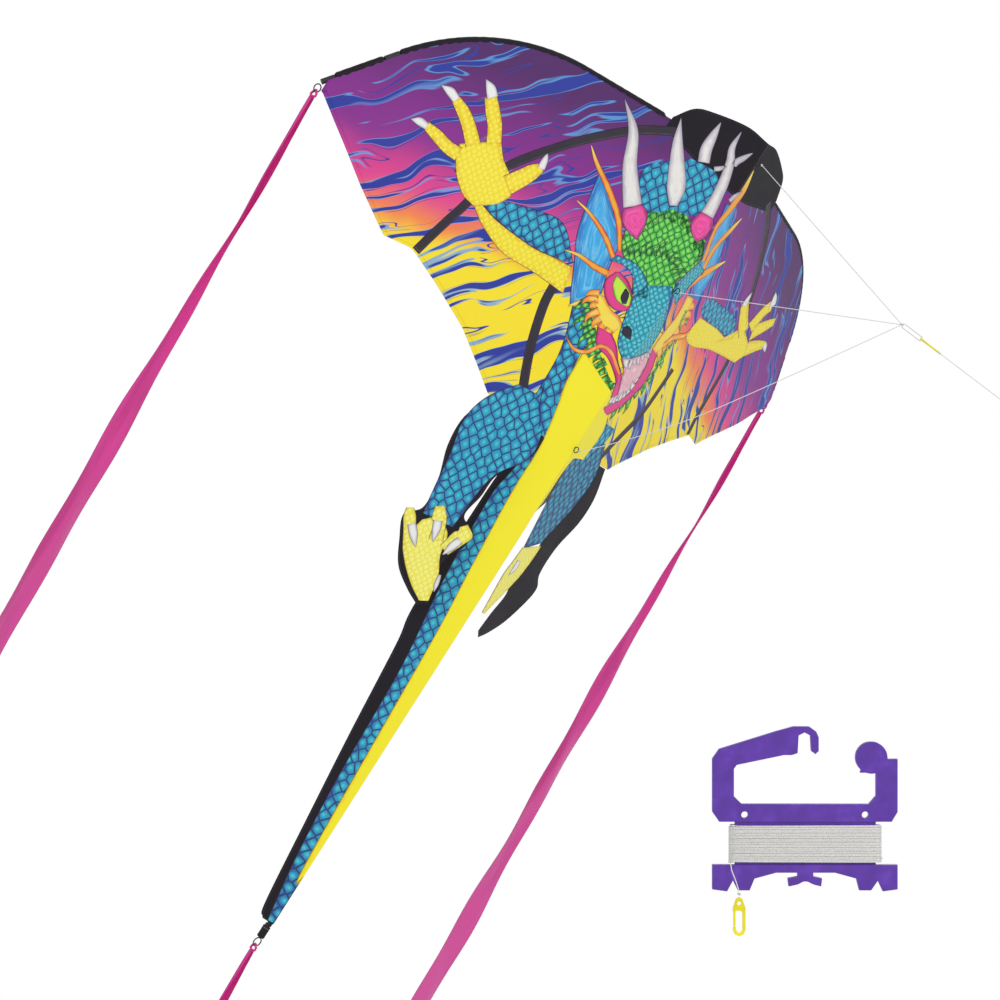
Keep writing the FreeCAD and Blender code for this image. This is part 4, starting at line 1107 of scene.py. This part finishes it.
def ring_piece(name, node, body, finish, slot, normal, strands=3):
    """Cord ring in the place of a CAD ring: strands laid round a circle."""
    low, high = node_box(node)
    centre = (low + high) / 2
    normal = np.array(normal, float)
    across = np.cross(normal, (0, 0, 1.0))
    half = (high[2] - low[2]) / 2
    thick = (high - low) @ np.abs(normal) / 2
    radius = half - thick
    t = np.linspace(0, 2 * np.pi, 96, endpoint=False)
    shell = Shell()
    spoke = across * np.cos(t)[:, None] + np.array((0, 0, 1.0)) * np.sin(t)[:, None]
    for strand in range(strands):
        lay = 9 * t + strand * 2 * np.pi / strands
        offset = thick * 0.46
        out, aside = radius + offset * np.cos(lay), offset * np.sin(lay)
        path = centre + spoke * out[:, None] + normal * aside[:, None]
        add_tube(shell, path, thick * 0.54, 8, up=normal, closed=True)
    piece = shell.piece(name, finish, slot)
    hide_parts(node)
    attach(piece, body)


def knot_path(centre, radius, turn=0.0):
    """Overhand knot: a trefoil, the curve (sin t + 2 sin 2t, cos t - 2 cos 2t, -sin 3t)."""
    t = np.linspace(0, 2 * np.pi, 90, endpoint=False)
    x, y, z = np.sin(t) + 2 * np.sin(2 * t), np.cos(t) - 2 * np.cos(2 * t), -1.4 * np.sin(3 * t)
    c, s = math.cos(turn), math.sin(turn)
    local = np.stack([x, y * c - z * s, y * s + z * c], -1) / 3.0
    return np.asarray(centre) + local * radius


def knots(name, nodes, centres, body, finish, slot, strand):
    """Pulled knots in the line, each a trefoil of the line's own section."""
    shell = Shell()
    for index, (centre, radius) in enumerate(centres):
        path = knot_path(centre, radius - strand, index * 0.9)
        way = np.roll(path, -1, 0) - np.roll(path, 1, 0)
        bend = np.roll(way, -1, 0) - np.roll(way, 1, 0)
        add_tube(shell, path, strand, 8, up=bend, closed=True)
    piece = shell.piece(name, finish, slot)
    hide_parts(*nodes)
    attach(piece, body)
    return piece


# ------------------------------------------------------------------ lines

TAB_FRONT = -0.0154
TOW = Vector((0, -0.414, -0.116))
LINE_END = Vector((0, -0.660, -0.149))
TAB_HEIGHTS = {"upper": 0.0, "middle": -0.225, "lower": -0.506}


def nurbs_line(name, points, radius):
    """One open NURBS line through the route's points, not yet on a body."""
    data = bpy.data.curves.new(name, "CURVE")
    data.dimensions = "3D"
    spline = data.splines.new("NURBS")
    spline.points.add(len(points) - 1)
    flat = np.ones((len(points), 4))
    flat[:, :3] = [tuple(p) for p in points]
    spline.points.foreach_set("co", flat.ravel())
    spline.order_u = 3
    spline.use_endpoint_u = True
    spline.resolution_u = 6
    data.bevel_depth = radius
    data.bevel_resolution = 2
    data.use_fill_caps = True
    data.materials.append(made("white_line"))
    return linked(name, data)


def line_curve(name, points, body, radius):
    """One open NURBS line that rides on a body."""
    line = nurbs_line(name, points, radius)
    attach(line, body)
    return line


def evaluated_mesh(shape):
    """Mesh of an object as Blender draws it."""
    return bpy.data.meshes.new_from_object(shape.evaluated_get(bpy.context.evaluated_depsgraph_get()))


def line_tube(name, points, body, radius):
    """A long line as a mesh tube, and the points that it follows, read from its bare NURBS spline."""
    route = nurbs_line(name + "_route", points, radius)
    route.data.splines[0].resolution_u = 2
    route.data.bevel_resolution = 1
    mesh = evaluated_mesh(route)
    route.data.bevel_depth = 0.0
    wire = evaluated_mesh(route)
    path = np.empty(len(wire.vertices) * 3, np.float32)
    wire.vertices.foreach_get("co", path)
    bare = route.data
    bpy.data.objects.remove(route)
    bpy.data.curves.remove(bare)
    bpy.data.meshes.remove(wire)
    mesh.name = name
    line = linked(name, mesh)
    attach(line, body)
    return line, path.reshape(-1, 3)


def taut_points(first, last):
    """Route of a taut line: one more point near each end."""
    way = (last - first).normalized() * 0.008
    return [first, first + way, last - way, last]


def route_length(points):
    """Length of a route that hardly bends."""
    return sum((b - a).length for a, b in zip(points, points[1:]))


def bridle():
    """Three legs from the tabs on the ridge to the tow point."""
    radius = bpy.context.scene.kite_lines.radius
    strand = bpy.context.scene.kite_lines.strand
    centres = [(TOW, 0.003)]
    for label, height in TAB_HEIGHTS.items():
        end = Vector((0, TAB_FRONT - 0.0032, height))
        centres.append((end, 0.0022))
        way = (TOW - end).normalized()
        first, last = end + way * 0.0021, TOW - way * 0.0032
        points = taut_points(first, last)
        if label == "lower":
            points = [first, Vector((0, -0.134, -0.422)), Vector((0, -0.277, -0.270)), last]
        line = line_curve("bridle_line_" + label, points, "bridle", radius)
        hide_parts("bridle_leg_" + label)
        route_length(points) * (0.997 if label == "lower" else 1.0)
        ring_piece("tab_" + label, "bridle_tab_" + label, "airframe", "black_cord", "black_cord", (1, 0, 0))
    knots("bridle_knot_turns", ["bridle_knots"], centres, "bridle", "knot_line", "line", strand)


def stadium(length, half, count=26):
    """Long loop with round ends, in its own plane: (across, down) from its top."""
    t = np.linspace(0, np.pi, count)
    top = np.stack([-half * np.cos(t), half - half * np.sin(t)], -1)
    bottom = np.stack([half * np.cos(t), length - half + half * np.sin(t)], -1)
    drop = np.linspace(half, length - half, count)[1:-1]
    right = np.stack([np.full_like(drop, half), drop], -1)
    left = np.stack([np.full_like(drop, -half), drop[::-1]], -1)
    return np.vstack([top, right, bottom, left])


def long_loop(name, node, body, top, way, across, length, half, radius):
    """Loop of line: two limbs joined by round ends, slightly open."""
    flat = stadium(length, half)
    way, across = np.array(way), np.array(across)
    path = np.array(top) + flat[:, :1] * across + flat[:, 1:] * way
    shell = Shell()
    add_tube(shell, path, radius, 10, up=np.cross(way, across), closed=True)
    piece = shell.piece(name, "knot_line", "line")
    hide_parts(node)
    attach(piece, body)
    return piece


def flying_line():
    """Tow loop, the start of the flying line and the loop at its end."""
    radius = bpy.context.scene.kite_lines.radius
    strand = bpy.context.scene.kite_lines.strand
    way = (LINE_END - TOW).normalized()
    across = way.cross(Vector((1, 0, 0))).normalized()
    long_loop("tow_loop_line", "tow_loop", "bridle", TOW + way * 0.0008, way, across, 0.044, 0.003, radius)
    tie = TOW + way * (0.0038 + 0.044 - radius - 0.0032 - 0.0016 + 0.040 + 0.0026)
    first, last = tie + way * 0.0021, LINE_END - way * 0.0023
    points = taut_points(first, last)
    line = line_curve("flying_line_start", points, "tow_clip", radius)
    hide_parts("flying_line")
    turns = knots("line_knot_turns", ["line_knots"], [(tie, 0.0022), (LINE_END, 0.0024)], "tow_clip",
                  "knot_line", "line", strand)
    loop = long_loop("line_end_loop_line", "line_end_loop", "tow_clip", LINE_END - way * 0.0031, way,
                     Vector((1, 0, 0)), 0.036, 0.006, radius)
    route_length(points)


# ------------------------------------------------------------------ ribbons

def ribbon(label, tall):
    """Ribbon hung from its knot: pleats that open out downwards, soft waves and a notched end."""
    sizes = bpy.context.scene.kite_ribbons
    low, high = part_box("ribbon_" + label)
    centre = (low[0] + high[0]) / 2
    start = np.array((centre, high[1] - 0.0003, high[2]))
    down = np.array((0, -math.sin(sizes.lean), -math.cos(sizes.lean)))
    front = np.array((0, -math.cos(sizes.lean), math.sin(sizes.lean)))
    across = np.linspace(-1, 1, 41)[None]
    t = np.concatenate([np.linspace(0, 0.08, 60)[:-1], np.linspace(0.08, 1, 240)])[:, None]
    foot = tall - sizes.width / 2 * (1 - np.abs(across))
    s = t * foot
    open_ = np.clip(s / (0.4 * tall), 0, 1)
    half = 0.0025 + (sizes.width / 2 - 0.0025) * open_
    pleat = (1 - smooth(open_ * 1.6)) * 0.0032 * np.sin(across * np.pi * 4.5 + 2 * np.sin(s * 9))
    wave = smooth(s / 0.25) * (0.0035 * np.sin(s * 12 + 1.4 * across) + 0.002 * np.sin(s * 29 - 2.2 * across))
    curl = smooth(s / 0.2) * 0.0022 * across ** 2 * np.sin(s * 7 + 1)
    points = start + (across * half)[..., None] * np.array((1.0, 0, 0)) + s[..., None] * down \
        + (pleat + wave + curl)[..., None] * front
    uv = np.stack([across * sizes.width / 2 + 0 * s, -s], -1)
    rim = np.minimum((1 - np.abs(across)) * sizes.width / 2, foot - s)
    shell = Shell()
    run = s + 0 * rim
    shell.add(points + front * 0.00006, uv, rim, run, flip=True)
    shell.add(points - front * 0.00006, uv, rim, run)
    shell.rim_strip(points + front * 0.00006, points - front * 0.00006, uv, rim, run, flip=True)
    piece = shell.piece("ribbon_cloth_" + label, "ribbon", "ribbon")
    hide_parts("ribbon_" + label)
    body = "ribbon_%s_body" % label
    "ribbon_knot_" + label
    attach(piece, body)
    middle = sum(node_box("ribbon_knot_" + label)) / 2
    shell = Shell()
    t = np.linspace(0, 2 * np.pi, 72, endpoint=False)
    for turn, wide in ((0.0, 0.0017), (0.5, 0.0014)):
        path = middle + np.stack([0.0012 * np.sin(2 * t + turn), (0.0052 - 0.0007 * turn) * np.cos(t),
                                  (0.0052 - 0.0007 * turn) * np.sin(t)], -1)
        add_tube(shell, path, wide * (1 + 0.12 * np.sin(7 * t)), 12, up=(1, 0, 0), closed=True)
    wrap = np.stack([0.0030 * np.cos(t), 0.0030 * np.sin(t), 0.0009 * np.sin(2 * t)], -1) \
        + middle - np.array((0, 0, 0.0062))
    add_tube(shell, wrap, 0.0012 * (1 + 0.15 * np.sin(5 * t)), 10, up=(0, 0, 1), closed=True)
    knot = shell.piece("ribbon_knot_turns_" + label, "ribbon", "ribbon")
    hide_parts("ribbon_knot_" + label)
    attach(knot, body)


# ------------------------------------------------------------------ winder and moulded parts

WINDER_ORIGIN = Vector((-0.679, -1.230, -0.699))
WINDER_X = VIEW_RIGHT
WINDER_Y = Vector((0.7068, 0.7068, -0.0295))
WINDER_Z = VIEW_UP
SPOOL_DEPTHS = (2.95, 4.15, 5.3)
SPOOL_HALF = 72.5
SPOOL_TOP = -6.6
SPOOL_TRAVEL = 36.0
SPOOL_TURNS = 29
TURN_POINTS = 12


def winder_point(x, y, z):
    """Point of the winder's own frame, in millimetres, brought to the kite's."""
    return WINDER_ORIGIN + (WINDER_X * x + WINDER_Y * y + WINDER_Z * z) * MM


def wound_line():
    """Line wound on the spool: flat turns with round ends, in three layers, then the free end."""
    radius = bpy.context.scene.kite_lines.radius
    points = []
    for layer, depth in enumerate(SPOOL_DEPTHS):
        reach = SPOOL_HALF + depth
        columns = np.linspace(-0.96, 0.96, 5)
        sense, start = (-1, SPOOL_TOP - SPOOL_TRAVEL) if layer == 1 else (1, SPOOL_TOP)
        front = [(c * reach, -depth) for c in columns]
        back = [(c * reach, depth) for c in columns[::-1]]
        ring = front + [(reach + 1.2, 0.0)] + back + [(-reach - 1.2, 0.0)]
        step = -sense * SPOOL_TRAVEL / (SPOOL_TURNS - 1) / TURN_POINTS
        for turn in range(SPOOL_TURNS):
            base = start - sense * SPOOL_TRAVEL * turn / (SPOOL_TURNS - 1)
            wobble = 0.10 * math.sin(turn * 2.7 + layer)
            points += [winder_point(x, y, base + step * i + wobble) for i, (x, y) in enumerate(ring)]
    points += [winder_point(-76, -5.9, -43.2), winder_point(-76.5, -8.2, -50), winder_point(-71, -8.9, -62),
               winder_point(-68, -7.2, -73)]
    line, path = line_tube("wound_line_turns", points, "winder", radius)
    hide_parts("wound_line", "winder_line_end")
    knot = knots("winder_knot_turns", ["winder_line_knot"], [(winder_point(-68, -7.2, -75.2), 0.0022)],
                 "winder_clip", "knot_line", "line", bpy.context.scene.kite_lines.strand)


def softened(name, node, body, finish, width):
    """Moulded part with rounded edges: the frame's own solid, merged and bevelled."""
    source = bpy.data.objects[node]
    work = bmesh.new()
    work.from_mesh(source.data)
    bmesh.ops.remove_doubles(work, verts=work.verts, dist=1e-6)
    bmesh.ops.dissolve_limit(work, angle_limit=math.radians(1), verts=work.verts, edges=work.edges)
    mesh = bpy.data.meshes.new(name)
    work.to_mesh(mesh)
    work.free()
    piece = linked(name, mesh)
    mesh.materials.clear()
    mesh.materials.append(made(finish))
    bevel = piece.modifiers.new("edges", "BEVEL")
    bevel.width = width
    bevel.segments = 3
    bevel.limit_method = "ANGLE"
    bevel.angle_limit = math.radians(35)
    bevel.use_clamp_overlap = True
    mesh.polygons.foreach_set("use_smooth", np.full(len(mesh.polygons), True))
    weighted = piece.modifiers.new("shading", "WEIGHTED_NORMAL")
    weighted.keep_sharp = True
    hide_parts(node)
    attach(piece, body)


NODE_FINISHES = {
    "glassfibre": ["spine_rod_upper", "spine_rod_lower", "leading_rod_left", "leading_rod_right",
                   "spreader_rod_left", "spreader_rod_right"],
    "ferrule": ["spine_ferrule"],
    "moulded_black": ["spine_nose_cap", "spine_tail_cap", "spine_stop_rings", "tip_cap_left", "tip_cap_right",
                      "edge_connector_left", "edge_connector_right", "spreader_socket_left",
                      "spreader_socket_right"],
}


# ------------------------------------------------------------------ operators

SKY_LIGHT = 0.72
SKY_SEEN = 1.0
CAMERA_PLACE = (-3.0159, -2.9475, -0.5062)
CAMERA_LENS = 101.2
FLOOR_RADIUS = 4.2
FLOOR_HEIGHT = -3.4
FLOOR_RINGS = 10
FLOOR_SPOKES = 64
LIGHTS_AIM = Vector((0, -0.2, -0.6))
LIGHTS = (("key", (-1.5, -4.5, 2.6), 60, 2.2), ("fill", (-4.5, -1.0, 0.6), 22, 2.5),
          ("back", (2.5, 3.5, 2.0), 40, 2.5))


class KiteStage(bpy.types.Operator):
    """Set the camera, the pale floor and the soft light"""
    bl_idname = "kite.stage"
    bl_label = "Stage"

    def execute(self, context):
        scene = context.scene
        camera_data = bpy.data.cameras.new("camera")
        camera_data.lens = CAMERA_LENS
        camera_data.sensor_width = 36.0
        camera_data.clip_end = 100.0
        camera = linked("camera", camera_data)
        back = VIEW_RIGHT.cross(VIEW_UP).normalized()
        camera.matrix_world = Matrix((VIEW_RIGHT, VIEW_UP, back)).transposed().to_4x4()
        camera.location = CAMERA_PLACE
        scene.camera = camera
        self.floor()
        self.lights()
        world = bpy.data.worlds.new("studio")
        world.use_nodes = True
        tree = world.node_tree
        seen = tree.nodes.new("ShaderNodeLightPath")
        share = tree.nodes.new("ShaderNodeMapRange")
        share.inputs["To Min"].default_value = SKY_LIGHT
        share.inputs["To Max"].default_value = SKY_SEEN
        tree.links.new(seen.outputs["Is Camera Ray"], share.inputs["Value"])
        tree.links.new(share.outputs[0], tree.nodes["Background"].inputs[1])
        tree.nodes["Background"].inputs[0].default_value = (1.0, 1.0, 1.0, 1.0)
        scene.world = world
        scene.view_settings.view_transform = "Standard"
        return {"FINISHED"}

    def floor(self):
        """Pale round floor below the kite: rings round a centre."""
        radius = np.linspace(0, FLOOR_RADIUS, FLOOR_RINGS)[:, None]
        angle = np.linspace(0, 2 * np.pi, FLOOR_SPOKES, endpoint=False)[None]
        height = FLOOR_HEIGHT + 0 * radius * angle
        points = np.stack([radius * np.cos(angle), radius * np.sin(angle), height], -1)
        mesh = bpy.data.meshes.new("floor")
        index = np.arange(FLOOR_RINGS * FLOOR_SPOKES).reshape(FLOOR_RINGS, FLOOR_SPOKES)
        ring = np.hstack([index, index[:, :1]])
        quads = np.stack([ring[:-1, :-1], ring[1:, :-1], ring[1:, 1:], ring[:-1, 1:]], -1).reshape(-1, 4)
        mesh.from_pydata(points.reshape(-1, 3).tolist(), [], quads.tolist())
        floor = linked("floor", mesh)
        recipe = Recipe("pale_floor", 0.9)
        grain = recipe.noise(recipe.local(), 3.0, 2.0)
        colour = recipe.mix(grain * 0.2, (0.86, 0.86, 0.86), (0.80, 0.80, 0.81))
        mesh.materials.append(recipe.finish(colour))

    def lights(self):
        """Three large soft lights, two on the flyer's side and one behind, aimed at the kite's middle."""
        for name, place, power, size in LIGHTS:
            data = bpy.data.lights.new(name, "AREA")
            data.energy = power
            data.size = size
            lamp = linked(name, data)
            lamp.location = place
            way = LIGHTS_AIM - Vector(place)
            lamp.rotation_euler = way.to_track_quat("-Z", "Y").to_euler()


class KiteLines(bpy.types.Operator):
    """Build the bridle, its knots and the start of the flying line"""
    bl_idname = "kite.lines"
    bl_label = "Bridle and flying line"

    def execute(self, context):
        bridle()
        flying_line()
        return {"FINISHED"}


class KiteSails(bpy.types.Operator):
    """Build the wing cloth, its hems, the rib tapes and the hood"""
    bl_idname = "kite.sails"
    bl_label = "Wing cloth"

    def execute(self, context):
        for side in SIDES:
            sail(side)
            hem(side)
            rib_tapes(side)
        return {"FINISHED"}


class KiteBody(bpy.types.Operator):
    """Build the cloth of the tail body and the hind legs"""
    bl_idname = "kite.body"
    bl_label = "Body cloth"

    def execute(self, context):
        for side in SIDES:
            body_cloth(side)
        return {"FINISHED"}


class KitePrint(bpy.types.Operator):
    """Lay the printed dragon on the cloth"""
    bl_idname = "kite.print"
    bl_label = "Dragon print"

    def execute(self, context):
        print_pieces()
        return {"FINISHED"}


class KiteSleeves(bpy.types.Operator):
    """Build the sleeves, the tail pocket and the cord loops"""
    bl_idname = "kite.sleeves"
    bl_label = "Sleeves and loops"

    def execute(self, context):
        ridge_sleeve()
        tail_pocket()
        ring_piece("tail_loop_cord", "tail_loop", "airframe", "black_cord", "black_cord", (0, 1, 0))
        for side in SIDES:
            edge_sleeve(side)
            ring_piece("tip_loop_cord_" + side, "tip_loop_" + side, "wing_" + side, "black_cord",
                       "black_cord", (0, 1, 0))
        return {"FINISHED"}


class KiteRibbons(bpy.types.Operator):
    """Hang the three ribbons from their loops"""
    bl_idname = "kite.ribbons"
    bl_label = "Ribbons"

    def execute(self, context):
        sizes = context.scene.kite_ribbons
        for label in ("left", "right", "tail"):
            ribbon(label, sizes.tail_length if label == "tail" else sizes.tip_length)
        return {"FINISHED"}


class KiteFittings(bpy.types.Operator):
    """Finish the rods and moulded parts, and round the edges of the clips"""
    bl_idname = "kite.fittings"
    bl_label = "Rods, fittings and clips"

    def execute(self, context):
        for finish, nodes in NODE_FINISHES.items():
            for node in nodes:
                mesh = bpy.data.objects[node].data
                mesh.materials.clear()
                mesh.materials.append(made(finish))
        for clip, gate in (("tow_clip", "tow_gate"), ("winder_clip", "winder_gate")):
            softened(clip + "_moulding", clip + "_body", clip, "clip_plastic", 0.0005)
            softened(clip + "_tongue", clip + "_gate", gate, "clip_plastic", 0.0004)
        return {"FINISHED"}


class KiteWinder(bpy.types.Operator):
    """Finish the hand winder and wind the line on it"""
    bl_idname = "kite.winder"
    bl_label = "Winder"

    def execute(self, context):
        softened("winder_moulding", "winder_frame", "winder", "winder_plastic", 0.0009)
        wound_line()
        return {"FINISHED"}


OPERATORS = (KiteStage, KiteLines, KiteSails, KiteBody, KitePrint, KiteSleeves, KiteRibbons, KiteFittings,
             KiteWinder)
GROUPS = {"kite_cloth": KiteClothSizes, "kite_ribbons": KiteRibbonSizes, "kite_lines": KiteLineSizes,
          "kite_colours": KiteColours}


class KitePanel(bpy.types.Panel):
    """Sizes, colours and builders of the kite"""
    bl_idname = "VIEW3D_PT_kite"
    bl_label = "Dragon kite"
    bl_space_type = "VIEW_3D"
    bl_region_type = "UI"
    bl_category = "Kite"

    def draw(self, context):
        for group, kind in GROUPS.items():
            box = self.layout.box()
            for name in kind.__annotations__:
                box.prop(getattr(context.scene, group), name)
        for operator in OPERATORS:
            self.layout.operator(operator.bl_idname)


def register():
    """Register the classes and hang the groups on the scene."""
    for kind in (*GROUPS.values(), *OPERATORS, KitePanel):
        bpy.utils.register_class(kind)
    for name, kind in GROUPS.items():
        setattr(bpy.types.Scene, name, bpy.props.PointerProperty(type=kind))


def unregister():
    """Take everything back."""
    for name in GROUPS:
        delattr(bpy.types.Scene, name)
    for kind in reversed((*GROUPS.values(), *OPERATORS, KitePanel)):
        bpy.utils.unregister_class(kind)


def main():
    """Build the kite in order."""
    register()
    for operator in OPERATORS:
        group, name = operator.bl_idname.split(".")
        getattr(getattr(bpy.ops, group), name)()


if __name__ == "__main__":
    main()
